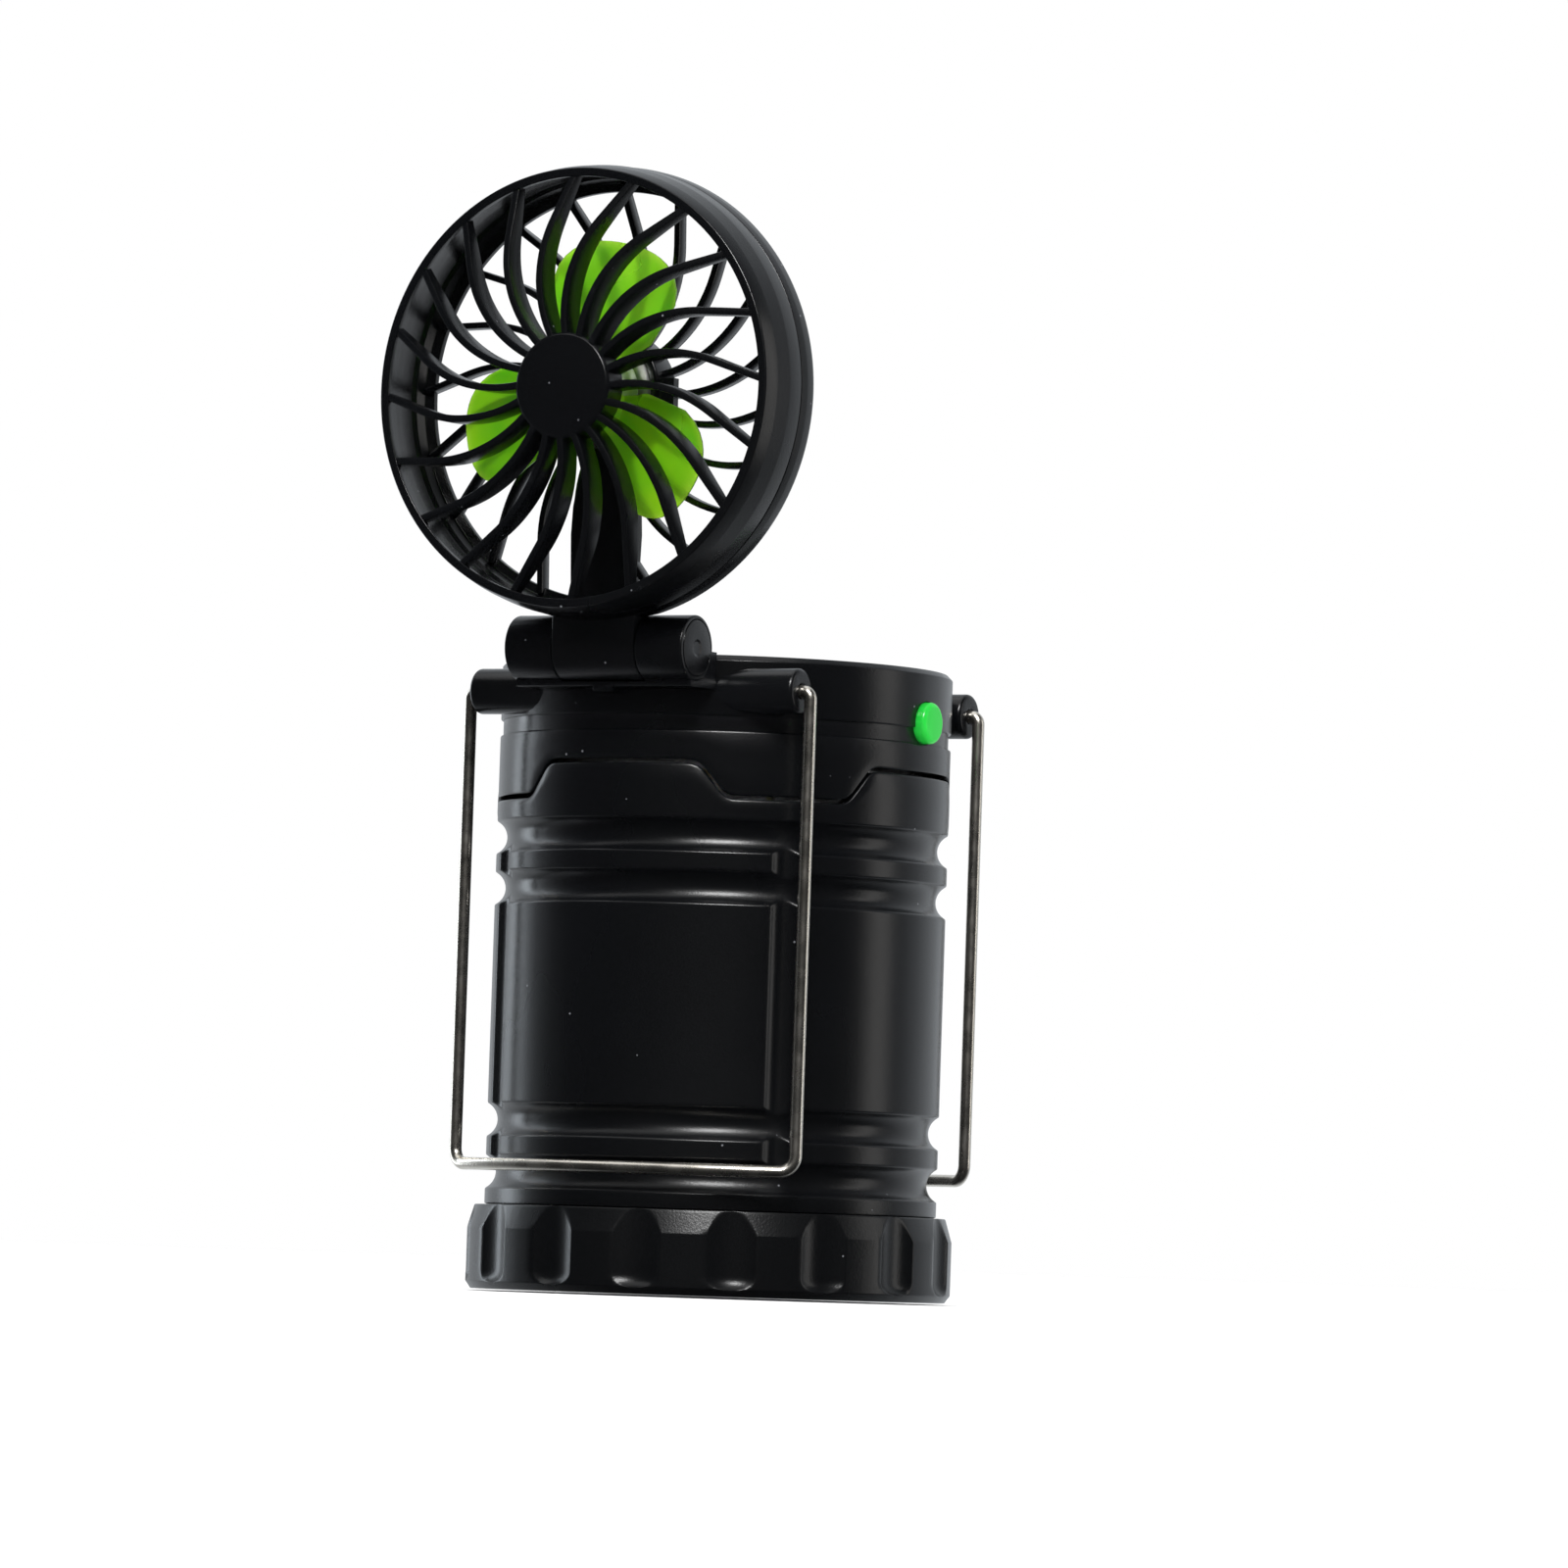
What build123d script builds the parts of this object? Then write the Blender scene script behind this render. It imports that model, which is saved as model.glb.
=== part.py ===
from build123d import *

import os
from math import atan, cos, radians, sin

# Pull-up camping lantern with a fold-up fan. Millimetres, +Z up, origin at the centre of the
# base's underside. The fan and its hinge are on the -Y side, the push button is on +X.

# ---- Driving dimensions: round body -----------------------------------------------------------
base_r = 45.0                  # knurled battery cap
base_h = 15.6
casing_r = 42.0
casing_bore_r = 38.2
collar_r = 41.9                # everything round that lifts with the head
neck_band_r = 41.4
neck_band_z = 102.6
lip_z = 105.5                  # underside of the head cap's lip
head_top_z = 116.5
seam_high_z = 96.6             # the zigzag joint between casing and collar
seam_low_z = 90.3
seam_gap = 0.8
seam_low_half_angle = 16.0     # degrees either side of each diagonal
seam_high_half_angle = 23.4
seam_corner_r = 3.4

groove_heights = (21.7, 31.35, 74.25, 83.7)
groove_depth = 2.0
groove_arc_r = 3.4
channel_depth = 1.4
channel_arc_r = 3.9

scallop_count = 16
scallop_depth = 1.4
scallop_arc_r = 9.7
scallop_foot_z = 3.7           # straight sides down to here, then a rounded foot
scallop_foot_r = 3.0

# ---- Driving dimensions: head, lamp and battery bay --------------------------------------------
lift_travel = 30.0
stop_gap = 0.4
retaining_ring_z = 88.4
slider_top_z = retaining_ring_z - lift_travel - stop_gap
slider_h = 1.6
globe_r = 36.5
globe_wall = 1.8
deck_z = 104.2
deck_h = 1.8
column_r = 9.0
cell_r = 7.25
cell_length = 50.5
cell_ring_r = 13.5
cap_floor = 2.0
cell_foot_z = 4.2
bay_plate_z = 55.0             # plate that closes the battery bay, over the cells
bay_plate_h = 1.0
cob_low_z, cob_high_z = 62.5, 97.5
screw_ring_r = 31.0

# ---- Driving dimensions: fan and its hinge ---------------------------------------------------
hinge_y = -46.0
hinge_z = 117.0
hinge_r = 6.0
hinge_half_width = 18.4
knuckle_half_width = 8.5
knuckle_gap = 0.2
pin_r = 1.5
running_clearance = 0.05
fan_z = 163.0
guard_front_y = -63.0
guard_depth = 16.5
guard_seam_depth = 11.0
guard_front_r = 39.9
guard_seam_r = 41.3
guard_rear_r = 41.5
guard_bore_r = 38.6
guard_hub_r = 9.65
spoke_count = 20
spoke_width = 1.3
spoke_start_angle = 16.5       # degrees, at the hub, counter-clockwise from +X seen from the front
spoke_foot_r = 9.0             # where a spoke's centreline starts
spoke_lead = 12.0              # its heading there, ahead of the radius
spoke_heading = -36.0          # its heading on the straight run, measured from the same radius
spoke_bend_r = 26.0
spoke_straight = 12.0
pod_r = 11.8
pod_front, pod_rear = -11.4, -18.5
pod_cover_seat = -17.5
rear_spoke_depth = 3.1
lead_cover_h = 0.7
motor_r = 10.0
motor_cover_r = 10.8
rotor_hub_r = 8.0
rotor_tip_r = 27.5
blade_pitch = 15.0
blade_thickness = 1.2
blade_mid_depth = 7.9
rotor_front_depth = 2.7
rotor_rear_depth = 10.9
shaft_r = 1.0

# ---- Driving dimensions: bails and button ------------------------------------------------------
wire_r = 1.15
bail_y = 33.7
bail_z = 110.0
bail_leg_x = 35.5
bail_bar_z = 22.9
bail_bow = 9.9                 # how far the bottom bar bows out, to clear the casing
bail_corner_r = 3.0
bail_top_bend_r = 1.5
bail_tip_x = 29.4
boss_r = 4.2
boss_end_x = 33.7
button_z = 106.5
button_r = 3.85
button_face_x = 43.6
button_back_x = 38.2


def turned(*profile):
    """Solid turned about Z from (radius, height) corners."""
    return revolve(Plane.XZ * make_face(Polyline(*profile, close=True)), Axis.Z)


def tube(outer, inner, bottom, top):
    """Upright tube between two heights."""
    wall = Cylinder(outer, top - bottom) - Cylinder(inner, top - bottom)
    return Pos(0, 0, (bottom + top) / 2) * wall


def disc(radius, bottom, top):
    """Upright cylinder between two heights."""
    return Pos(0, 0, (bottom + top) / 2) * Cylinder(radius, top - bottom)


def block(x, y, z):
    """Box from three (low, high) pairs."""
    size = [high - low for low, high in (x, y, z)]
    centre = [(high + low) / 2 for low, high in (x, y, z)]
    return Pos(*centre) * Box(*size)


def along_x(radius, low, high, y, z):
    """Cylinder along X between two x values."""
    return Pos((low + high) / 2, y, z) * Rot(0, 90, 0) * Cylinder(radius, high - low)


def ringed(shape, count, start=0.0):
    """Copies of a shape spaced evenly about Z."""
    return [Rot(0, 0, start + 360 / count * k) * shape for k in range(count)]


def polar(radius, angle):
    return radius * cos(radians(angle)), radius * sin(radians(angle))


def mirrored(shape):
    """A shape and its mirror image across X = 0."""
    return [shape, mirror(shape, about=Plane.YZ)]


# ---- The lower body --------------------------------------------------------------------------
def above_seam(lift):
    """Everything above the zigzag joint, raised by a lift: four identical wavy-bottomed blocks."""
    low_x = casing_r * sin(radians(seam_low_half_angle))
    high_x = casing_r * sin(radians(seam_high_half_angle))
    low, high, top = seam_low_z + lift, seam_high_z + lift, head_top_z
    wave = FilletPolyline(
        (-casing_r, high), (-high_x, high), (-low_x, low), (low_x, low), (high_x, high), (casing_r, high),
        radius=seam_corner_r,
    )
    closing = Polyline((casing_r, high), (casing_r, top), (-casing_r, top), (-casing_r, high))
    face = Plane.XZ.offset(casing_r / 2) * make_face(wave + closing)
    wedge = extrude(face, casing_r)
    four = ringed(wedge, 4, 45)
    return four[0] + four[1] + four[2] + four[3]


def lower_casing():
    shoulder_z = base_h + 0.3
    neck_r, neck_bore_r, neck_foot_z = 39.2, 37.0, 4.6
    body = turned(
        (neck_bore_r, neck_foot_z), (neck_r, neck_foot_z), (neck_r, shoulder_z),
        (casing_r - 0.3, shoulder_z), (casing_r, shoulder_z + 0.4), (casing_r, seam_high_z + 1),
        (casing_bore_r, seam_high_z + 1), (casing_bore_r, shoulder_z), (neck_bore_r, shoulder_z - 1.2),
    )
    for height in groove_heights:
        body -= Pos(0, 0, height) * Torus(casing_r - groove_depth + groove_arc_r, groove_arc_r)
    channel = Pos(casing_r - channel_depth + channel_arc_r, 0, 0) * disc(
        channel_arc_r, groove_heights[0], groove_heights[-1]
    )
    body -= ringed(channel, 4, 45)
    lug = tube(40.9, neck_r - 0.4, 7.0, 9.0) & block((30, 45), (-10, 10), (0, 20))
    body += ringed(lug, 3, 30)
    return body - above_seam(0)


def battery_bay():
    plate = disc(casing_bore_r - 0.1, bay_plate_z, bay_plate_z + bay_plate_h) - disc(4.0, 50, 60)
    barrel = Pos(cell_ring_r, 0, 0) * disc(cell_r + 1.5, 6.0, bay_plate_z)
    bore = Pos(cell_ring_r, 0, 0) * disc(cell_r + 0.3, 5.0, bay_plate_z)
    foot = disc(36.8, 12.0, 13.4)
    bay = plate + foot + ringed(barrel, 3)
    bay -= ringed(bore, 3)
    return bay


def battery_cells():
    can = disc(cell_r, cell_foot_z, cell_foot_z + cell_length - 1.2)
    nub = disc(2.7, cell_foot_z + cell_length - 1.2, cell_foot_z + cell_length)
    return ringed(Pos(cell_ring_r, 0, 0) * (can + nub), 3)


def cell_contacts():
    top = cell_foot_z + cell_length
    tab = Pos(cell_ring_r, 0, (top + bay_plate_z) / 2) * Box(9, 7, bay_plate_z - top)
    return ringed(tab, 3)


def retaining_ring():
    return tube(casing_bore_r, globe_r + 0.4, retaining_ring_z, retaining_ring_z + 1.6)


def contact_rails():
    height = (bay_plate_z + bay_plate_h + 0.2, retaining_ring_z - 0.2)
    rail = block((casing_bore_r - 0.6, casing_bore_r - 0.05), (-2, 2), height)
    return ringed(rail, 2, 90)


# ---- The battery cap -------------------------------------------------------------------------
def base_cap():
    bore_r, rim_z = 41.2, base_h - 0.1
    cap = turned(
        (0, 0), (base_r - 1.0, 0), (base_r, 1.4), (base_r, base_h - 4.4),
        (base_r - 1.3, base_h), (bore_r + 0.5, base_h), (bore_r, rim_z - 0.5), (bore_r, 3.4),
        (38.6, 3.4), (38.6, cap_floor), (0, cap_floor),
    )
    lip = tube(bore_r + 0.3, 39.6, 9.4, 11.4) & block((30, 45), (-10, 10), (0, 20))
    cap += ringed(lip, 3, 30)
    foot = (scallop_arc_r - scallop_foot_r, scallop_foot_z - scallop_foot_r)
    outline = (
        Line((0, base_h + 2), (scallop_arc_r, base_h + 2))
        + Line((scallop_arc_r, base_h + 2), (scallop_arc_r, scallop_foot_z))
        + RadiusArc((scallop_arc_r, scallop_foot_z), foot, scallop_foot_r)
        + Line(foot, (0, foot[1])) + Line((0, foot[1]), (0, base_h + 2))
    )
    cutter = revolve(Plane.XZ * make_face(outline), Axis.Z)
    scallop = Pos(base_r - scallop_depth + scallop_arc_r, 0, 0) * cutter
    for cut in ringed(scallop, scallop_count, 360 / scallop_count / 2):
        cap -= cut
    underside_web = block((10, 38), (-1.0, 1.0), (-1, 1))
    recess = tube(37, 11, -1, 0.7) - ringed(underside_web, 6)
    return cap - recess


def cap_seal():
    return tube(40.8, 38.9, 3.4, 4.2)


def contact_plate():
    plate = disc(24.0, cap_floor, cap_floor + 0.4)
    return plate - disc(3.0, 0, 5)


def contact_springs():
    turns_h, coil_r, spring_wire_r = 1.1, 3.4, 0.22
    path = Helix(pitch=turns_h / 2, height=turns_h, radius=coil_r)
    section = Plane(origin=path @ 0, z_dir=path % 0) * Circle(spring_wire_r)
    coil = Pos(cell_ring_r, 0, cap_floor + 0.4 + spring_wire_r) * sweep(section, path)
    return ringed(coil, 3)


# ---- The head that lifts -----------------------------------------------------------------------
def button_hole():
    return along_x(button_r + 0.3, casing_bore_r - 3, base_r, 0, button_z)


def upper_collar():
    inner = 39.4
    ring = turned(
        (inner, seam_low_z), (collar_r, seam_low_z), (collar_r, neck_band_z - 0.4),
        (collar_r - 0.3, neck_band_z), (neck_band_r, neck_band_z), (neck_band_r, lip_z), (inner, lip_z),
    )
    return (ring & above_seam(seam_gap)) - button_hole()


def head_cap():
    dish_r, dish_z, wall_r, roof_z = 37.5, 114.0, 39.9, 112.0
    shell = turned(
        (wall_r, lip_z), (collar_r - 0.3, lip_z), (collar_r, lip_z + 0.3), (collar_r, head_top_z - 1.0),
        (collar_r - 1.0, head_top_z), (dish_r + 0.8, head_top_z), (dish_r, dish_z), (0, dish_z),
        (0, roof_z), (wall_r, roof_z),
    )
    interior = disc(wall_r, lip_z, roof_z)
    hinge_block = block((-18.2, 18.2), (hinge_y - 1.5, -30), (110.0, 116.8)) - disc(dish_r, 100, 120)
    stop_tab = block((-2.05, 2.05), (hinge_y - 1.6, -40), (109.1, 110.2))
    boss = along_x(boss_r, 14, boss_end_x, bail_y, bail_z) - disc(dish_r, dish_z, 120)
    bosses = [Rot(0, 0, turn) * piece for turn in (0, 180) for piece in mirrored(boss)]
    outside = hinge_block + stop_tab + bosses
    post = Pos(screw_ring_r, 0, 0) * disc(3.2, deck_z + deck_h, roof_z)
    cap = shell + (outside - interior) + ringed(post, 4, 45)

    knuckle = along_x(hinge_r, knuckle_half_width + knuckle_gap, hinge_half_width, hinge_y, hinge_z)
    for outer in mirrored(knuckle):
        cap += outer
    swing_room = along_x(
        hinge_r + 0.3, -knuckle_half_width - knuckle_gap, knuckle_half_width + knuckle_gap, hinge_y, hinge_z
    )
    cap -= swing_room
    cap -= along_x(pin_r + running_clearance, -25, 25, hinge_y, hinge_z)
    for recess in mirrored(along_x(5.25, hinge_half_width - 0.8, hinge_half_width + 2, hinge_y, hinge_z)):
        cap -= recess
    bail_bore = along_x(wire_r + running_clearance, bail_tip_x - 0.4, boss_end_x + 1, bail_y, bail_z)
    cap -= [Rot(0, 0, turn) * piece for turn in (0, 180) for piece in mirrored(bail_bore)]
    pilot = Pos(screw_ring_r, 0, 0) * disc(1.3, deck_z + deck_h - 1, roof_z - 1)
    cap -= ringed(pilot, 4, 45)
    return cap - button_hole()


def light_globe():
    return tube(globe_r, globe_r - globe_wall, slider_top_z, deck_z)


def globe_slider():
    ring = tube(casing_bore_r - 0.3, globe_r - globe_wall, slider_top_z - slider_h, slider_top_z)
    notch = block((casing_bore_r - 1.2, casing_bore_r + 1), (-3, 3), (50, 60))
    return ring - ringed(notch, 2, 90)


def wiper_contacts():
    """Springy fingers in the slider's notches that run along the rails."""
    height = (slider_top_z - slider_h, slider_top_z)
    finger = block((casing_bore_r - 1.2, casing_bore_r - 0.8), (-1.5, 1.5), height)
    return ringed(finger, 2, 90)


def lower_reflector():
    inner = globe_r - globe_wall
    bottom = slider_top_z - slider_h
    return turned((0, bottom), (inner, bottom), (inner, bottom + 1.6), (inner - 2, bottom + 1.6),
                  (column_r + 2, bottom + 3.4), (0, bottom + 3.4))


def lamp_column():
    foot = slider_top_z - slider_h + 3.4
    post = extrude(RegularPolygon(column_r, 6), deck_z - foot)
    return Pos(0, 0, foot) * post


def cob_strips():
    flat = column_r * cos(radians(30))
    strip = block((flat, flat + 1.0), (-3.4, 3.4), (cob_low_z, cob_high_z))
    return ringed(strip, 3, 30)


def upper_reflector():
    foot_z = deck_z - 5
    return turned(
        (column_r, deck_z), (27, deck_z), (27, deck_z - 1), (column_r + 2, foot_z), (column_r, foot_z),
    )


def lamp_deck():
    deck = disc(39.0, deck_z, deck_z + deck_h) - disc(3.0, 100, 110)
    deck -= block((34.2, 45), (-5.6, 5.6), (100, 110))
    hole = Pos(screw_ring_r, 0, 0) * disc(1.7, 100, 110)
    return deck - ringed(hole, 4, 45)


def control_board():
    top = deck_z + deck_h
    board = block((4, 30.5), (-13, 13), (top, top + 1.4))
    driver = block((10, 17), (-4, 5), (top + 1.4, top + 3.4))
    coil = Pos(22, -7, 0) * disc(3.0, top + 1.4, top + 4.6)
    return board + driver + coil


def push_switch():
    top = deck_z + deck_h
    can = block((30.5, 35.2), (-3, 3), (top, top + 4))
    return can + along_x(1.4, 35.2, 36.0, 0, button_z + 0.9)


def head_screws():
    head = disc(2.4, deck_z - 1.3, deck_z)
    shank = disc(1.25, deck_z, 110.8)
    return ringed(Pos(screw_ring_r, 0, 0) * (head + shank), 4, 45)


def hinge_pin():
    return along_x(pin_r, -hinge_half_width + 0.8, hinge_half_width - 0.8, hinge_y, hinge_z)


def hinge_end_caps():
    plug = along_x(5.15, hinge_half_width - 0.8, hinge_half_width + 0.1, hinge_y, hinge_z)
    return mirrored(plug)


# ---- The fan -----------------------------------------------------------------------------------
# Fan pieces are drawn facing the viewer: +Z towards the front, negative heights behind the rim.
fan_place = Plane(origin=(0, guard_front_y, fan_z), x_dir=(1, 0, 0), z_dir=(0, -1, 0)).location


def spoke_blade(turn):
    """One spoke, a tall strip: it leaves the hub leading, bends back and ends in a straight run."""
    arc_centre = Vector(spoke_foot_r, 0) + Vector(spoke_bend_r, 0).rotate(Axis.Z, spoke_lead - 90)
    headings = (spoke_lead, (spoke_lead + spoke_heading) / 2, spoke_heading)

    def side(offset):
        arm = Vector(0, spoke_bend_r + offset)
        bend = [arc_centre + arm.rotate(Axis.Z, heading) for heading in headings]
        return bend + [bend[-1] + Vector(spoke_straight, 0).rotate(Axis.Z, spoke_heading)]

    left, right = side(spoke_width / 2), side(-spoke_width / 2)
    outline = (
        ThreePointArc(*left[:3]) + Line(*left[2:]) + Line(left[-1], right[-1])
        + Line(*right[2:]) + ThreePointArc(*right[:3]) + Line(right[0], left[0])
    )
    strip = Pos(0, 0, -25) * extrude(make_face(outline), 35)
    return strip if turn < 0 else mirror(strip, about=Plane.XZ)


def grille(turn, start, *profile):
    """A ring of spokes cut to a turned profile. They trail clockwise with a turn of -1."""
    envelope = turned(*profile)
    return [spoke & envelope for spoke in ringed(spoke_blade(turn), spoke_count, start)]


def front_rim():
    """The front half of the fan's round housing."""
    return fan_place * turned(
        (38.3, -0.2), (38.5, 0), (guard_front_r - 0.3, 0), (guard_front_r, -0.3),
        (guard_seam_r, -guard_seam_depth), (39.7, -guard_seam_depth), (39.2, -2.6), (38.3, -2.6),
    )


def front_grille():
    """Hollow round hub and S-curved spokes that end on the front rim's bore."""
    hub = turned(
        (0, 3.9), (4, 3.85), (8.8, 3.55), (guard_hub_r, 2.9),
        (guard_hub_r, -2.0), (8.3, -2.0), (8.3, 1.8), (0, 1.8),
    )
    spokes = grille(
        -1, spoke_start_angle,
        (8.7, 3.5), (20, 3.3), (30, 1.9), (39, -0.3), (39, -2.5), (24, -2.0), (8.7, -1.9),
    )
    return fan_place * (hub + spokes) - front_rim()


def rear_rim():
    """The rear half of the housing, with the neck and the centre knuckle that carry it on the hinge."""
    rear = -guard_depth
    ring = turned(
        (39.7, -guard_seam_depth), (guard_seam_r, -guard_seam_depth), (guard_rear_r, -12.5),
        (guard_rear_r, rear + 1.4), (guard_rear_r - 0.4, rear + 0.4), (guard_rear_r - 1.3, rear),
        (37.2, rear), (37.2, rear + 1.6), (guard_bore_r, rear + 2.4), (39.2, -guard_seam_depth),
    )
    neck = block((-knuckle_half_width, knuckle_half_width), (guard_front_y + guard_seam_depth, -46.5),
                 (hinge_z, fan_z - 39.3))
    rim = fan_place * ring + neck
    rim += along_x(hinge_r, -knuckle_half_width, knuckle_half_width, hinge_y, hinge_z)
    rim -= along_x(pin_r + running_clearance, -20, 20, hinge_y, hinge_z)
    for seat in mirrored(along_x(3.3, 4.0, knuckle_half_width, hinge_y, hinge_z)):
        rim -= seat
    for relief in mirrored(along_x(hinge_r + 0.35, knuckle_half_width, 20, hinge_y, hinge_z)):
        rim -= relief
    return rim


def rear_grille():
    """Motor pod, its spokes, and the leaf-shaped arm that takes the leads down to the neck."""
    rear = -guard_depth
    left = Spline((-4.5, -10.5), (-6.6, -24), (-6.25, -38.4))
    right = Spline((6.25, -38.4), (6.6, -24), (4.5, -10.5))
    leaf = left + Line((-6.25, -38.4), (6.25, -38.4)) + right + Line((4.5, -10.5), (-4.5, -10.5))
    arm = Pos(0, 0, rear) * extrude(make_face(leaf), rear_spoke_depth)
    spokes = grille(
        1, -spoke_start_angle,
        (pod_r - 0.6, rear + rear_spoke_depth), (39, rear + rear_spoke_depth - 0.4), (39, rear),
        (pod_r - 0.6, rear),
    )
    back = disc(pod_r, pod_rear, pod_front) + spokes + arm
    back -= disc(motor_r + 0.1, pod_cover_seat, pod_front + 1)
    back -= disc(motor_cover_r + 0.1, pod_rear - 1, pod_cover_seat)
    back -= block((-3.6, 3.6), (-36.5, -13.5), (rear - 1, rear + lead_cover_h))
    return fan_place * back - rear_rim()


def hinge_bushes():
    bush = along_x(3.25, 4.0, knuckle_half_width, hinge_y, hinge_z)
    bush -= along_x(pin_r + running_clearance, 0, 20, hinge_y, hinge_z)
    return mirrored(bush)


def fan_motor():
    can = turned(
        (0, -17.4), (motor_r - 0.8, -17.4), (motor_r, -16.8), (motor_r, -12.3), (motor_r - 0.6, -11.7),
        (3, -11.7), (3, -11.2), (0, -11.2),
    )
    return fan_place * (can - disc(shaft_r + running_clearance, -14, -10))


def motor_cover():
    holes = [Pos(x, 0, 0) * disc(1.1, -20, -10) for x in (-6, 6)]
    return fan_place * (disc(motor_cover_r, pod_rear, pod_cover_seat) - holes)


def motor_screws():
    screw = disc(1.0, -18.4, -17.4)
    return [fan_place * Pos(x, 0, 0) * screw for x in (-6, 6)]


def terminal_block():
    return fan_place * block((pod_r, pod_r + 3.0), (-2.6, 2.6), (-13.4, -11.6))


def duct_cover():
    return fan_place * block((-3.5, 3.5), (-36.4, -13.6), (-guard_depth, -guard_depth + lead_cover_h))


def impeller():
    hub = turned(
        (0, -rotor_front_depth), (6.8, -rotor_front_depth), (rotor_hub_r, -rotor_front_depth - 1.2),
        (rotor_hub_r, -rotor_rear_depth), (0, -rotor_rear_depth),
    )
    tip_half, root_half = 31.0, 36.0
    corners = [
        polar(7.0, root_half), polar(15.0, 38.0), polar(rotor_tip_r, tip_half), polar(rotor_tip_r, 0),
        polar(rotor_tip_r, -tip_half), polar(15.0, -38.0), polar(7.0, -root_half),
    ]
    outline = (Polyline(*corners[:3]) + ThreePointArc(*corners[2:5]) + Polyline(*corners[4:])
               + Line(corners[-1], corners[0]))
    plan = extrude(fillet(make_face(outline).vertices().filter_by_position(Axis.X, 20, 30), 5), 30)
    plate = Rot(blade_pitch, 0, 0) * Box(70, 60, blade_thickness)
    blade = (Pos(0, 0, -blade_mid_depth) * plate) & (Pos(0, 0, -20) * plan)
    wheel = hub + ringed(blade, 3, 78)
    return fan_place * (wheel - disc(shaft_r, -20, -rotor_front_depth - 1.5))


def motor_shaft():
    return fan_place * disc(shaft_r, -13.6, -rotor_front_depth - 1.5)


# ---- Bails and button --------------------------------------------------------------------------
def bail(side):
    """Wire handle in front (side -1) or behind (side +1)."""
    bow = 2 * atan(bail_bow / (bail_leg_x + bail_corner_r))
    bar_end_y = side * (bail_y + bail_corner_r * sin(bow))
    bar_end = (bail_leg_x - bail_corner_r * cos(bow), bar_end_y, bail_bar_z)
    leg_y = side * bail_y
    tip = (bail_tip_x, leg_y, bail_z)
    top_in = (bail_leg_x - bail_top_bend_r, leg_y, bail_z)
    top_out = (bail_leg_x, leg_y, bail_z - bail_top_bend_r)
    leg_foot = (bail_leg_x, leg_y, bail_bar_z + bail_corner_r)
    middle = (0, side * (bail_y + bail_bow), bail_bar_z)

    def flip(point):
        return (-point[0], point[1], point[2])

    path = (
        Line(tip, top_in) + TangentArc(top_in, top_out, tangent=(1, 0, 0))
        + Line(top_out, leg_foot) + TangentArc(leg_foot, bar_end, tangent=(0, 0, -1))
        + ThreePointArc(bar_end, middle, flip(bar_end))
        + TangentArc(flip(leg_foot), flip(bar_end), tangent=(0, 0, -1))
        + Line(flip(leg_foot), flip(top_out)) + TangentArc(flip(top_in), flip(top_out), tangent=(-1, 0, 0))
        + Line(flip(top_in), flip(tip))
    )
    section = Plane(origin=tip, z_dir=(1, 0, 0)) * Circle(wire_r)
    return sweep(section, path)


def front_bail():
    return bail(-1)


def back_bail():
    return bail(1)


def fan_button():
    cap = along_x(button_r, button_back_x, button_face_x, 0, button_z)
    rim = cap.edges().sort_by(Axis.X)[-1]
    foot = block((button_back_x - 0.8, button_back_x), (-5, 5), (104.8, 109.5))
    return fillet(rim, 0.8) + foot


sub_parts = (
    lower_casing, battery_bay, battery_cells, cell_contacts, retaining_ring, contact_rails,
    base_cap, cap_seal, contact_plate, contact_springs,
    upper_collar, head_cap, light_globe, globe_slider, wiper_contacts, lower_reflector, lamp_column,
    cob_strips, upper_reflector, lamp_deck, control_board, push_switch, head_screws, hinge_pin,
    hinge_end_caps, front_rim, front_grille, rear_rim, rear_grille, hinge_bushes, fan_motor,
    motor_cover, motor_screws, terminal_block, duct_cover, impeller, motor_shaft,
    front_bail, back_bail, fan_button,
)

os.makedirs("parts", exist_ok=True)
for make in sub_parts:
    shape = make()
    solids = shape if isinstance(shape, list) else [shape]
    node = Compound(children=[solid for piece in solids for solid in piece.solids()])
    export_step(node, f"parts/{make.__name__}.step")
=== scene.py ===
from math import atan2, ceil, cos, pi, radians, sin, sqrt, tan

import bpy
from mathutils import Matrix, Vector


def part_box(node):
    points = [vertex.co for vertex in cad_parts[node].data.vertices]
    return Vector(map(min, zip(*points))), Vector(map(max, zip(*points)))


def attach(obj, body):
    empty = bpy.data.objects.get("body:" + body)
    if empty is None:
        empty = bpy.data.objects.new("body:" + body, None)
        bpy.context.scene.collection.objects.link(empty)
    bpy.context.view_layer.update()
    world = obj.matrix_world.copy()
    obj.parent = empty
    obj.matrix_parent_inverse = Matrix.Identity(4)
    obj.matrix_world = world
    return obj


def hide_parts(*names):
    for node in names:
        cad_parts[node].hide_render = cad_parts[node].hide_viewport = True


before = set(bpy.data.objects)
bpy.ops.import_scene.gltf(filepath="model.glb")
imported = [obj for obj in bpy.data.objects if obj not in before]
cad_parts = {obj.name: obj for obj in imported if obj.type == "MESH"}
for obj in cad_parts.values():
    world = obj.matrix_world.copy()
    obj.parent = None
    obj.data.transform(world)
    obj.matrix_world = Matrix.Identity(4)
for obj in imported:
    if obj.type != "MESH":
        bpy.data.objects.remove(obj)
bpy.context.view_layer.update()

# Lengths in this script are millimetres; meshes are scaled to metres as they are made.
MM = 0.001


def span(node):
    """Lowest and highest corner of a CAD node, in millimetres."""
    low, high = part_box(node)
    return low / MM, high / MM


WIRE_R = 1.15

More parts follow.
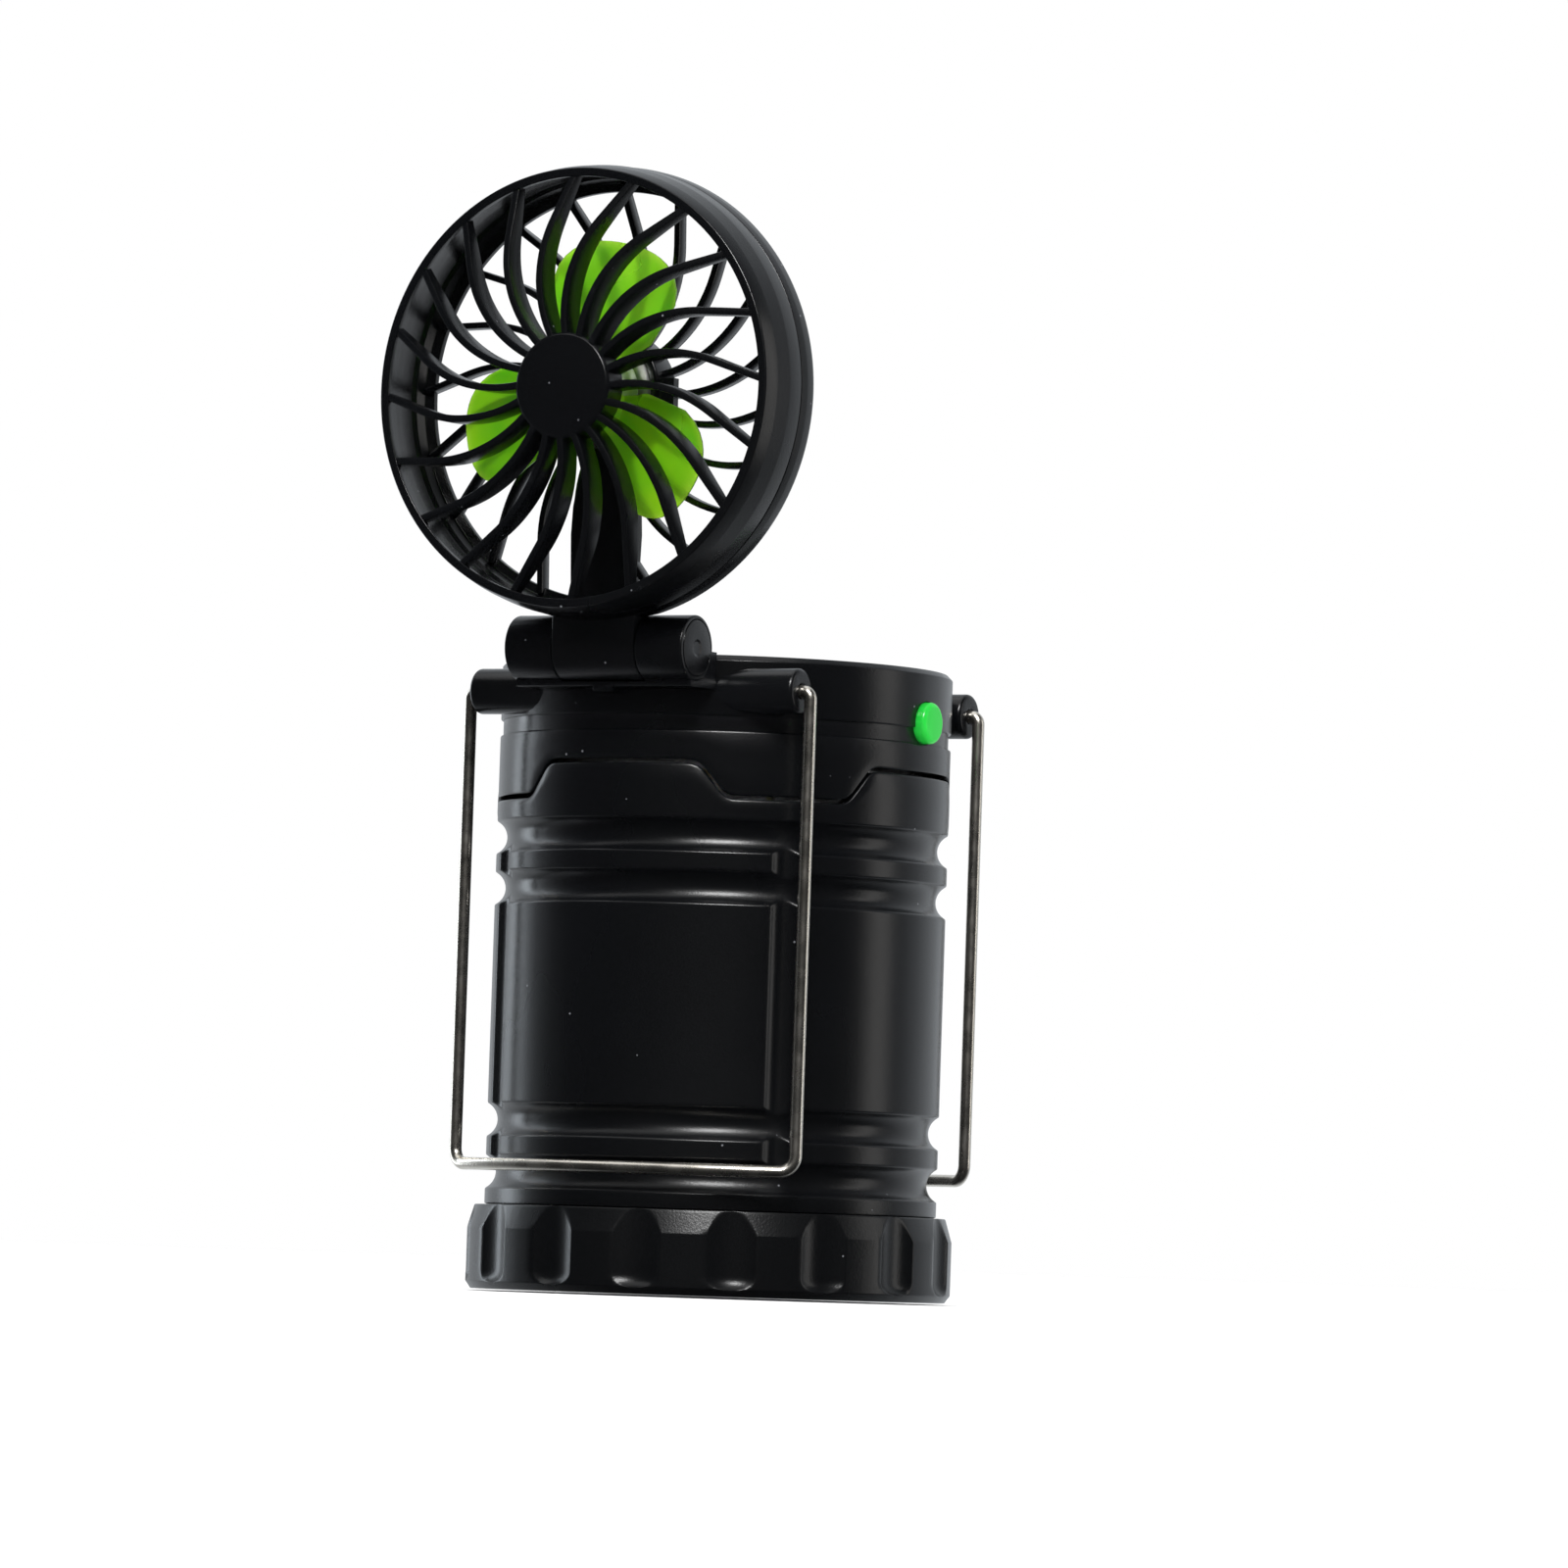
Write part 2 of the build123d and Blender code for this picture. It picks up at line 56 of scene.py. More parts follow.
# ---- Places and sizes taken from the frame -----------------------------------------------------
casing_low, casing_high = span("lower_casing")
cap_high = span("base_cap")[1]
collar_high = span("upper_collar")[1]
front_low, front_high = span("front_rim")
rear_high = span("rear_rim")[1]
button_low, button_high = span("fan_button")
pin_low, pin_high = span("hinge_pin")
bail_low, bail_high = span("front_bail")
end_cap_high = span("hinge_end_caps")[1]

CASING_R = casing_high.x
CASING_BORE_R = span("retaining_ring")[1].x
BASE_R = cap_high.x
BASE_H = cap_high.z
COLLAR_R = collar_high.x
LIP_Z = collar_high.z
SEAM_HIGH_Z = casing_high.z
HEAD_TOP_Z = LIP_Z + 11.0
HINGE_Y, HINGE_Z = (pin_low.y + pin_high.y) / 2, (pin_low.z + pin_high.z) / 2
HINGE_R = HINGE_Z - 111.0
HINGE_HALF = end_cap_high.x - 0.1
KNUCKLE_HALF = span("hinge_bushes")[1].x
FAN_Z = (front_low.z + front_high.z) / 2
GUARD_FRONT_Y = front_low.y
GUARD_SEAM_R = front_high.x
GUARD_SEAM_DEPTH = front_high.y - GUARD_FRONT_Y
GUARD_REAR_R = rear_high.x
GUARD_DEPTH = 16.5
BAIL_Y = span("back_bail")[0].y + WIRE_R
BAIL_Z = bail_high.z - WIRE_R
BUTTON_Z = (button_low.z + button_high.z) / 2

# ---- Details that the boxes don't give ----------------------------------------------------------
GROOVE_HEIGHTS = (21.7, 31.35, 74.25, 83.7)
GROOVE_DEPTH, GROOVE_ARC_R = 2.0, 3.4
CHANNEL_DEPTH, CHANNEL_ARC_R = 1.4, 3.9
SEAM_LOW_Z = 90.3
SEAM_GAP = 0.8
SEAM_LOW_X = CASING_R * sin(radians(16.0))
SEAM_HIGH_X = CASING_R * sin(radians(23.4))
SEAM_CORNER_R = 3.4
SCALLOPS = 16
SCALLOP_DEPTH, SCALLOP_ARC_R = 1.4, 9.7
SCALLOP_FOOT_Z, SCALLOP_FOOT_R = 3.7, 3.0
SPOKES = 20
SPOKE_START = 16.5
SPOKE_FOOT_R, SPOKE_BEND_R = 9.0, 26.0
SPOKE_LEAD, SPOKE_HEADING = radians(12.0), radians(-36.0)
CAMERA_AZIMUTH = 28.5
FRONT_ROOM, BACKDROP = 0.006, 0.7    # what the glossy surfaces see in front and behind


# ---- Mesh helpers -------------------------------------------------------------------------------
def piece(name, verts, faces, body, slot, material, smooth=40, nodes=()):
    """A finished mesh piece, from millimetre points, riding on a body."""
    mesh = bpy.data.meshes.new(name)
    mesh.from_pydata([Vector(v) * MM for v in verts], [], faces)
    mesh.validate()
    mesh.shade_smooth()
    mesh.set_sharp_from_angle(angle=radians(smooth))
    mesh.materials.append(material)
    obj = bpy.data.objects.new(name, mesh)
    bpy.context.scene.collection.objects.link(obj)
    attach(obj, body)
    if nodes:
        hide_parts(*nodes)
    return obj


def wrap(angles, section, closed=True):
    """Verts and faces of a body wrapped round Z: section(angle) gives (radius, height) points.

    With closed=False the section's first and last points are on the axis, as poles.
    """
    rings = [section(a) for a in angles]
    count, turns = len(rings[0]), len(angles)
    verts = []
    for a, ring in zip(angles, rings):
        c, s = cos(radians(a)), sin(radians(a))
        verts += [(r * c, r * s, z) for r, z in ring]
    faces = []
    last = count if closed else count - 1
    for i in range(turns):
        here, there = i * count, (i + 1) % turns * count
        for j in range(last):
            k = (j + 1) % count
            quad = [here + j, there + j, there + k, here + k]
            if not closed and j == 0:
                quad = [0, there + k, here + k]
            if not closed and k == count - 1:
                quad = [here + j, there + j, count - 1]
            faces.append(quad)
    if not closed:
        used = sorted({i for face in faces for i in face})
        index = {old: new for new, old in enumerate(used)}
        verts = [verts[i] for i in used]
        faces = [[index[i] for i in face] for face in faces]
    return verts, faces


def evenly(count, start=0.0):
    return [start + 360 / count * k for k in range(count)]


def rounded(points, radius, steps=4, closed=True):
    """An outline with its corners rounded. A point may carry its own radius as a third value."""
    out = []
    n = len(points)
    for i, point in enumerate(points):
        own = point[2] if len(point) > 2 else radius
        here = Vector(point[:2])
        if own <= 0 or (not closed and i in (0, n - 1)):
            out.append(tuple(here))
            continue
        before, after = Vector(points[i - 1][:2]), Vector(points[(i + 1) % n][:2])
        u, v = (before - here), (after - here)
        half = u.angle(v) / 2
        if half > radians(89):
            out.append(tuple(here))
            continue
        reach = min(own / tan(half), u.length * 0.48, v.length * 0.48)
        arc_r = reach * tan(half)
        u.normalize()
        v.normalize()
        centre = here + (u + v).normalized() * (arc_r / sin(half))
        first, final = here + u * reach - centre, here + v * reach - centre
        turn = first.angle_signed(final)
        for k in range(steps + 1):
            spin = Matrix.Rotation(-turn * k / steps, 2)
            out.append(tuple(centre + spin @ first))
    return out


def smooth_max(a, b, blend):
    h = max(blend - abs(a - b), 0.0) / blend
    return max(a, b) + h * h * blend / 4


def moved(verts, place):
    return [place @ Vector(v) for v in verts]


def joined(*parts):
    """Several (verts, faces) as one."""
    verts, faces = [], []
    for part_verts, part_faces in parts:
        base = len(verts)
        verts += part_verts
        faces += [[base + i for i in face] for face in part_faces]
    return verts, faces


def lathe(profile, place=Matrix(), steps=64, closed=False):
    """A turned piece: profile of (radius, height), its axis Z sent to a place."""
    verts, faces = wrap(evenly(steps), lambda a: profile, closed)
    return moved(verts, place), faces


def prism(outline, low, high, place=Matrix()):
    """An outline in X, Y extruded along Z."""
    n = len(outline)
    verts = [(x, y, z) for z in (low, high) for x, y in outline]
    faces = [[i, (i + 1) % n, n + (i + 1) % n, n + i] for i in range(n)]
    faces += [list(range(n))[::-1], list(range(n, 2 * n))]
    return moved(verts, place), faces


def bevelled(obj, width, segments=3, angle=35):
    bevel = obj.modifiers.new("bevel", "BEVEL")
    bevel.width = width * MM
    bevel.segments = segments
    bevel.limit_method = "ANGLE"
    bevel.angle_limit = radians(angle)
    bevel.harden_normals = True
    return obj


def cut(obj, cutters):
    """Takes closed (verts, faces) shapes out of a piece for good."""
    mesh = bpy.data.meshes.new("cutter")
    verts, faces = joined(*cutters)
    mesh.from_pydata([Vector(v) * MM for v in verts], [], faces)
    tool = bpy.data.objects.new("cutter", mesh)
    bpy.context.scene.collection.objects.link(tool)
    boolean = obj.modifiers.new("cut", "BOOLEAN")
    boolean.operation = "DIFFERENCE"
    boolean.solver = "EXACT"
    boolean.use_self = True
    boolean.object = tool
    result = bpy.data.meshes.new_from_object(obj.evaluated_get(bpy.context.evaluated_depsgraph_get()))
    obj.modifiers.remove(boolean)
    obj.data = result
    bpy.data.objects.remove(tool)
    result.shade_smooth()
    result.set_sharp_from_angle(angle=radians(35))
    return obj


def along_x(y, z):
    """Place that sends Z to +X, through (y, z)."""
    return Matrix.Translation((0, y, z)) @ Matrix.Rotation(pi / 2, 4, "Y")


FAN = Matrix.Translation((0, GUARD_FRONT_Y, FAN_Z)) @ Matrix.Rotation(pi / 2, 4, "X")


# ---- Materials ----------------------------------------------------------------------------------
class Nodes:
    """A material's node tree with short calls to add to it."""

    def __init__(self, name):
        self.material = bpy.data.materials.new(name)
        self.material.use_nodes = True
        self.tree = self.material.node_tree
        self.shader = self.tree.nodes["Principled BSDF"]
        self.coords = self.add("ShaderNodeTexCoord").outputs["Object"]

    def add(self, kind, **settings):
        node = self.tree.nodes.new(kind)
        for key, value in settings.items():
            setattr(node, key, value)
        return node

    def join(self, output, socket):
        self.tree.links.new(output, socket)

    def set(self, **values):
        for key, value in values.items():
            self.shader.inputs[key.replace("_", " ")].default_value = value

    def noise(self, scale, detail=3.0, roughness=0.5, stretch=None):
        node = self.add("ShaderNodeTexNoise")
        node.inputs["Scale"].default_value = scale
        node.inputs["Detail"].default_value = detail
        node.inputs["Roughness"].default_value = roughness
        coords = self.coords
        if stretch:
            mapping = self.add("ShaderNodeMapping")
            mapping.inputs["Scale"].default_value = stretch
            self.join(coords, mapping.inputs["Vector"])
            coords = mapping.outputs["Vector"]
        self.join(coords, node.inputs["Vector"])
        return node.outputs["Fac"]

    def spots(self, scale):
        node = self.add("ShaderNodeTexVoronoi", feature="F1")
        node.inputs["Scale"].default_value = scale
        self.join(self.coords, node.inputs["Vector"])
        return node.outputs["Distance"]

    def ramp(self, value, stops):
        node = self.add("ShaderNodeValToRGB")
        elements = node.color_ramp.elements
        while len(elements) < len(stops):
            elements.new(0.5)
        for element, (position, colour) in zip(elements, stops):
            element.position = position
            grey = isinstance(colour, (int, float))
            element.color = (colour, colour, colour, 1) if grey else (*colour, 1)
        self.join(value, node.inputs["Fac"])
        return node.outputs["Color"]

    def maths(self, operation, a, b):
        node = self.add("ShaderNodeMath", operation=operation)
        for socket, value in zip(node.inputs, (a, b)):
            if isinstance(value, (int, float)):
                socket.default_value = value
            else:
                self.join(value, socket)
        return node.outputs["Value"]

    def mix(self, factor, a, b):
        node = self.add("ShaderNodeMix", data_type="RGBA")
        for socket, value in zip((node.inputs[0], node.inputs[6], node.inputs[7]), (factor, a, b)):
            if isinstance(value, (int, float)):
                socket.default_value = value
            elif isinstance(value, tuple):
                socket.default_value = (*value, 1)
            else:
                self.join(value, socket)
        return node.outputs[2]

    def bump(self, height, strength, distance, over=None):
        node = self.add("ShaderNodeBump")
        node.inputs["Strength"].default_value = strength
        node.inputs["Distance"].default_value = distance
        self.join(height, node.inputs["Height"])
        if over:
            self.join(over, node.inputs["Normal"])
        return node.outputs["Normal"]

    def edges(self, low, high):
        """1 on convex edges, 0 elsewhere."""
        pointiness = self.add("ShaderNodeNewGeometry").outputs["Pointiness"]
        return self.ramp(pointiness, ((low, 0.0), (high, 1.0)))


def black_plastic(name, colour, rough, grain, worn=0.5):
    """Spark-textured black ABS: fine grain, handling sheen, dust specks and edges rubbed smoother."""
    n = Nodes(name)
    cloud = n.noise(60, 4)
    base = n.mix(cloud, tuple(c * 0.8 for c in colour), tuple(c * 1.25 for c in colour))
    dust = n.ramp(n.spots(230), ((0.0, 1.0), (0.035, 1.0), (0.05, 0.0)))
    kept = n.ramp(n.noise(35, 2), ((0.46, 0.0), (0.52, 1.0)))
    specks = n.maths("MULTIPLY", dust, kept)
    edge = n.edges(0.52, 0.60)
    base = n.mix(n.maths("MULTIPLY", edge, worn * 0.35), base, tuple(c * 2.2 + 0.01 for c in colour))
    n.join(n.mix(n.maths("MULTIPLY", specks, 0.6), base, (0.22, 0.23, 0.25)), n.shader.inputs["Base Color"])
    smear = n.noise(9, 5, 0.6, (1, 1, 0.45))
    roughness = n.ramp(smear, ((0.3, rough - 0.06), (0.7, rough + 0.08)))
    worn_edge = n.maths("MULTIPLY", edge, 0.08 * worn)
    n.join(n.maths("SUBTRACT", roughness, worn_edge), n.shader.inputs["Roughness"])
    fine = n.bump(n.noise(2400, 2, 0.6), grain, 0.00006)
    n.join(n.bump(n.noise(130, 2), 0.12, 0.0002, fine), n.shader.inputs["Normal"])
    n.set(IOR=1.5, Specular_IOR_Level=0.5)
    return n.material


def green_plastic(name, deep, bright, transmission, rough):
    """Translucent dyed polypropylene; a painted edge glow makes it lighter and more saturated towards its
    edges.
    """
    n = Nodes(name)
    body = n.mix(n.ramp(n.noise(45, 3), ((0.35, 0.0), (0.65, 1.0))), deep, bright)
    # painted edge glow: convex edges are mixed towards a lighter, more saturated green, standing in for light
    # glowing through the thin plastic
    painted_edge_glow = n.edges(0.51, 0.58)
    n.join(n.mix(n.maths("MULTIPLY", painted_edge_glow, 0.5), body, tuple(min(1.0, c * 1.5 + 0.05) for c in bright)),
           n.shader.inputs["Base Color"])
    n.join(n.ramp(n.noise(40, 4), ((0.3, rough), (0.7, rough + 0.1))), n.shader.inputs["Roughness"])
    n.join(n.bump(n.noise(900, 2), 0.06, 0.0001), n.shader.inputs["Normal"])
    n.set(IOR=1.49, Transmission_Weight=transmission, Subsurface_Weight=0.25, Subsurface_Scale=0.004)
    n.shader.inputs["Subsurface Radius"].default_value = (0.4, 1.0, 0.3)
    return n.material


def plated_wire():
    """Nickel plate over drawn wire: faint draw lines, tarnish patches."""
    n = Nodes("nickel_wire")
    tarnish = n.ramp(n.noise(120, 5, 0.6), ((0.35, (0.96, 0.92, 0.84)), (0.7, (0.84, 0.79, 0.70))))
    n.join(tarnish, n.shader.inputs["Base Color"])
    n.join(n.ramp(n.noise(260, 4), ((0.3, 0.22), (0.75, 0.34))), n.shader.inputs["Roughness"])
    n.join(n.bump(n.noise(600, 3, 0.5, (1, 1, 0.05)), 0.15, 0.00005), n.shader.inputs["Normal"])
    n.set(Metallic=1.0)
    return n.material


def metal(name, colour, rough, scratch=0.15):
    n = Nodes(name)
    darker = tuple(c * 0.8 for c in colour)
    n.join(n.mix(n.noise(150, 4), colour, darker), n.shader.inputs["Base Color"])
    n.join(n.ramp(n.noise(400, 4), ((0.3, rough), (0.7, rough + 0.15))), n.shader.inputs["Roughness"])
    n.join(n.bump(n.noise(1500, 2, 0.5, (1, 0.1, 1)), scratch, 0.00005), n.shader.inputs["Normal"])
    n.set(Metallic=1.0)
    return n.material


def moulded(name, colour, rough=0.35):
    n = Nodes(name)
    n.join(n.mix(n.noise(80, 3), colour, tuple(c * 0.85 for c in colour)), n.shader.inputs["Base Color"])
    n.join(n.ramp(n.noise(50, 3), ((0.3, rough), (0.7, rough + 0.1))), n.shader.inputs["Roughness"])
    n.join(n.bump(n.noise(2500, 2), 0.1, 0.00004), n.shader.inputs["Normal"])
    return n.material


def clear_plastic():
    n = Nodes("clear_globe")
    n.join(n.mix(n.noise(30, 2), (0.93, 0.95, 0.96), (0.88, 0.91, 0.93)), n.shader.inputs["Base Color"])
    n.join(n.ramp(n.noise(70, 4), ((0.35, 0.03), (0.75, 0.14))), n.shader.inputs["Roughness"])
    n.join(n.bump(n.noise(45, 2), 0.05, 0.0004), n.shader.inputs["Normal"])
    n.set(IOR=1.49, Transmission_Weight=0.95)
    return n.material


BLACK = black_plastic("black_abs", (0.0020, 0.0023, 0.0030), 0.25, 0.35)
CAP_BLACK = black_plastic("cap_abs", (0.0020, 0.0023, 0.0029), 0.25, 0.5, 0.8)
GUARD_BLACK = black_plastic("guard_abs", (0.0020, 0.0023, 0.0029), 0.25, 0.40)
BLADE_GREEN = green_plastic("blade_green", (0.07, 0.55, 0.006), (0.36, 0.78, 0.012), 0.6, 0.2)
BUTTON_GREEN = green_plastic("button_green", (0.01, 0.50, 0.04), (0.03, 0.68, 0.07), 0.25, 0.16)
WIRE = plated_wire()
STEEL = metal("steel", (0.58, 0.57, 0.55), 0.28)
BRASS = metal("brass", (0.72, 0.56, 0.28), 0.25)
MIRROR = metal("metallised", (0.88, 0.88, 0.90), 0.08, 0.03)
WHITE = moulded("white_abs", (0.80, 0.80, 0.78), 0.3)
COB = moulded("cob_phosphor", (0.90, 0.76, 0.16), 0.45)
BOARD = moulded("board", (0.02, 0.16, 0.06), 0.35)
CELL = moulded("cell_wrap", (0.05, 0.07, 0.11), 0.25)
SEAL = moulded("seal_rubber", (0.02, 0.02, 0.02), 0.6)
CLEAR = clear_plastic()


# ---- Lower casing --------------------------------------------------------------------------------
def seam_height(angle, lift=0.0):
    """Height of the zigzag joint at an angle round the body."""
    off = abs(angle % 90 - 45)
    x = CASING_R * sin(radians(off))
    rise = SEAM_HIGH_Z - SEAM_LOW_Z
    slope = atan2(rise, SEAM_HIGH_X - SEAM_LOW_X)
    reach = SEAM_CORNER_R * tan(slope / 2)
    if x < SEAM_LOW_X - reach:
        up = 0.0
    elif x < SEAM_LOW_X + reach * cos(slope):
        up = SEAM_CORNER_R - sqrt(SEAM_CORNER_R ** 2 - (x - SEAM_LOW_X + reach) ** 2)
    elif x < SEAM_HIGH_X - reach * cos(slope):
        up = (x - SEAM_LOW_X) * tan(slope)
    elif x < SEAM_HIGH_X + reach:
        up = rise - SEAM_CORNER_R + sqrt(SEAM_CORNER_R ** 2 - (SEAM_HIGH_X + reach - x) ** 2)
    else:
        up = rise
    return SEAM_LOW_Z + up + lift


def body_angles():
    """Angles round the body, close together at the channels and at the seam's ramps."""
    quarter = []
    off = -45.0
    while off < 45.0 - 1e-6:
        quarter.append(off)
        near = abs(off)
        step = 0.6 if near < 5.4 else 0.9 if 10.5 < near < 27 else 1.8
        off += step
    return [45 + 90 * k + off for k in range(4) for off in quarter]


def groove_depth(z):
    deepest = 0.0
    for centre in GROOVE_HEIGHTS:
        off = abs(z - centre)
        if off < GROOVE_ARC_R:
            arc = sqrt(GROOVE_ARC_R ** 2 - off ** 2) - (GROOVE_ARC_R - GROOVE_DEPTH)
            deepest = smooth_max(deepest, arc, 0.3)
    return deepest


def channel_depth(angle, z):
    if not GROOVE_HEIGHTS[0] < z < GROOVE_HEIGHTS[-1]:
        return 0.0
    off = abs(angle % 90 - 45)
    across = CASING_R * radians(off)
    if across > CHANNEL_ARC_R:
        return 0.0
    arc = sqrt(CHANNEL_ARC_R ** 2 - across ** 2) - (CHANNEL_ARC_R - CHANNEL_DEPTH)
    return smooth_max(0.0, arc, 0.25)


def casing_heights():
    """Row heights from the casing's foot to just under the zigzag edge, close together in the grooves."""
    rows = [casing_low.z + 11.5, 87.4]
    for centre in GROOVE_HEIGHTS:
        rows += [centre + 3.6 * k / 14 for k in range(-14, 15)]
    rows += [38.0 + 5 * k for k in range(7)]
    return sorted(rows)


CASING_ROWS = casing_heights()


def casing_section(angle):
    edge = seam_height(angle)
    foot = CASING_ROWS[0]
    line = [(CASING_R - 0.45, foot - 0.4), (CASING_R - 0.12, foot - 0.28)]
    for z in CASING_ROWS:
        depth = smooth_max(groove_depth(z), channel_depth(angle, z), 0.3)
        line.append((CASING_R - depth, z))
    top = CASING_ROWS[-1]
    line += [(CASING_R, top + (edge - 0.45 - top) * k / 3) for k in (1, 2, 3)]
    line += [(CASING_R - 0.10, edge - 0.20), (CASING_R - 0.22, edge - 0.06), (CASING_R - 0.45, edge)]
    line += [(CASING_BORE_R + 0.4, edge), (CASING_BORE_R, edge - 0.4)]
    line += [(CASING_BORE_R, 80.0), (CASING_BORE_R, foot - 0.4)]
    return line


def lower_casing():
    neck_r, bore_r, neck_foot, neck_top = 39.2, 37.0, 4.6, 15.0
    flange_foot, flange_top = 14.6, 15.75
    verts, faces = wrap(body_angles(), casing_section)
    neck = lathe(rounded([(neck_r, neck_top), (bore_r, neck_top), (bore_r, neck_foot), (neck_r, neck_foot)],
                         0.3, 2), closed=True)
    flange = lathe([(CASING_BORE_R + 0.5, flange_top), (bore_r, flange_top), (bore_r, flange_foot),
                    (neck_r, flange_foot), (neck_r, flange_top)], closed=True)
    verts, faces = joined((verts, faces), neck, flange)
    return piece("casing_shell", verts, faces, "casing", "black_abs", BLACK, 50, ["lower_casing"])


# ---- Upper collar ------------------------------------------------------------------------------
def collar_section(angle):
    edge = seam_height(angle, SEAM_GAP)
    band_z, band_r, bore_r = 102.6, 41.4, 39.4
    top = LIP_Z
    line = [(bore_r + 0.4, edge), (COLLAR_R - 0.40, edge), (COLLAR_R - 0.18, edge + 0.06),
            (COLLAR_R - 0.05, edge + 0.20), (COLLAR_R, edge + 0.45)]
    line += [(COLLAR_R, edge + 0.45 + (band_z - 0.35 - edge - 0.45) * k / 3) for k in (1, 2, 3)]
    line += [(COLLAR_R - 0.08, band_z - 0.12), (band_r + 0.15, band_z), (band_r, band_z + 0.12)]
    line += [(band_r, (band_z + top) / 2), (band_r, top), (bore_r, top), (bore_r, edge + 0.4)]
    return line


def button_well():
    radius = (button_high.z - button_low.z) / 2 + 0.22
    return lathe([(0, 30.0), (radius, 30.0), (radius, 50.0), (0, 50.0)], along_x(0, BUTTON_Z), 48)


def upper_collar():
    verts, faces = wrap(body_angles(), collar_section)
    collar = piece("collar_shell", verts, faces, "head", "black_abs", BLACK, 50, ["upper_collar"])
    return cut(collar, [button_well()])


# ---- Head cap ------------------------------------------------------------------------------------
def head_shell():
    """The round cap, dished on top where the folded fan sits."""
    r, top, lip = COLLAR_R, HEAD_TOP_Z, LIP_Z
    profile = rounded([
        (0, 112.0, 0), (39.9, 112.0, 0.6), (39.9, lip, 0.2), (r, lip, 0.3), (r, top - 1.0, 0.35),
        (r - 1.0, top, 0.35), (38.4, top, 0.3), (37.5, top - 0.8, 0.4), (37.5, 114.0, 1.2),
        (36.0, 114.0, 0), (14.4, 114.0, 0), (13.6, 114.0, 0.3), (13.2, 113.7, 0.2), (12.8, 114.0, 0.3),
        (12.0, 114.0, 0), (0, 114.0, 0),
    ], 0.3, 4, closed=False)
    shell = lathe(profile, steps=180)
    cap = piece("head_shell", *shell, "head", "black_abs", BLACK, 40, ["head_cap"])
    return cut(cap, [button_well()])


def boss(side_x, y):
    """One bail boss, a cylinder that grows out of the cap's wall, with a round-edged bored end."""
    turn = Matrix.Rotation(pi, 4, "Z") if side_x < 0 else Matrix()
    y = -y if side_x < 0 else y
    bore = WIRE_R + 0.12
    profile = rounded([
        (0, 14.0, 0), (4.2, 14.0, 0), (4.2, 33.7, 0.8), (bore + 0.35, 33.7, 0.25), (bore, 33.35, 0.1),
        (bore, 29.2, 0), (0, 29.2, 0),
    ], 0.5, 5, closed=False)
    return lathe(profile, turn @ along_x(y, BAIL_Z), 56)


def bosses():
    four = joined(*[boss(x, y) for x in (-1, 1) for y in (-BAIL_Y, BAIL_Y)])
    obj = piece("bail_bosses", *four, "head", "black_abs", BLACK, 40)
    inside = lathe([(0, 90), (39.9, 90), (39.9, 112), (0, 112)], steps=120)
    dish = lathe([(0, 113.9), (37.4, 113.9), (37.4, 120), (0, 120)], steps=120)
    return cut(obj, [inside, dish])


def hinge_block():
    """The block on the cap's front that carries the outer knuckles."""
    back, ledge, low, high, half = -38.0, HINGE_Y - 1.5, 110.0, 116.8, 18.2
    outline = rounded([(back, low, 0), (back, high, 0), (HINGE_Y, high, 0), (HINGE_Y, low + 3.0, 0),
                       (ledge, low + 2.0, 0.3), (ledge, low, 0.5)], 0.4, 4)
    outline = [(-x, y) for x, y in outline]
    place = Matrix(((0, 0, 1, 0), (-1, 0, 0, 0), (0, 1, 0, 0), (0, 0, 0, 1)))
    obj = piece("hinge_block", *prism(outline, -half, half, place), "head", "black_abs", BLACK, 35)
    room = KNUCKLE_HALF + 0.2
    swing = lathe([(0, -room), (HINGE_R + 0.3, -room), (HINGE_R + 0.3, room), (0, room)],
                  along_x(HINGE_Y, HINGE_Z), 72)
    cut(obj, [swing])
    return bevelled(obj, 0.3)


def outer_knuckle(side):
    """Closed barrel with a shallow seat in its end for the end cap."""
    low, high, seat = KNUCKLE_HALF + 0.2, HINGE_HALF, 5.25
    profile = rounded([
        (1.6, low, 0), (HINGE_R, low, 0.25), (HINGE_R, high, 0.7), (seat, high, 0.12), (seat, high - 0.8, 0),
        (1.6, high - 0.8, 0),
    ], 0.3, 4)
    turn = Matrix.Rotation(pi, 4, "Z") if side < 0 else Matrix()
    y = -HINGE_Y if side < 0 else HINGE_Y
    return lathe(profile, turn @ along_x(y, HINGE_Z), 72, closed=True)


def end_cap(side):
    low, high, radius = HINGE_HALF - 0.8, HINGE_HALF + 0.1, 5.15
    profile = rounded([(0, low, 0), (radius, low, 0), (radius, high, 0.25), (1.6, high, 0.2),
                       (1.2, high - 0.15, 0.1), (0, high - 0.15, 0)], 0.2, 4, closed=False)
    turn = Matrix.Rotation(pi, 4, "Z") if side < 0 else Matrix()
    y = -HINGE_Y if side < 0 else HINGE_Y
    return lathe(profile, turn @ along_x(y, HINGE_Z), 72)


def stop_tab():
    outline = rounded([(-2.05, 109.1), (2.05, 109.1), (2.05, 110.4), (-2.05, 110.4)], 0.35, 3)
    place = Matrix(((1, 0, 0, 0), (0, 0, 1, 0), (0, 1, 0, 0), (0, 0, 0, 1)))
    obj = piece("stop_tab", *prism(outline, HINGE_Y - 1.6, -40.5, place), "head", "black_abs", BLACK, 35)
    return bevelled(obj, 0.2)


def screw_posts():
    posts = []
    for angle in evenly(4, 45):
        spot = Matrix.Translation((31.0 * cos(radians(angle)), 31.0 * sin(radians(angle)), 0))
        posts.append(lathe([(1.3, 106.0), (3.2, 106.0), (3.2, 112.4), (1.3, 112.4)], spot, 32, closed=True))
    return piece("screw_posts", *joined(*posts), "head", "black_abs", BLACK, 40)


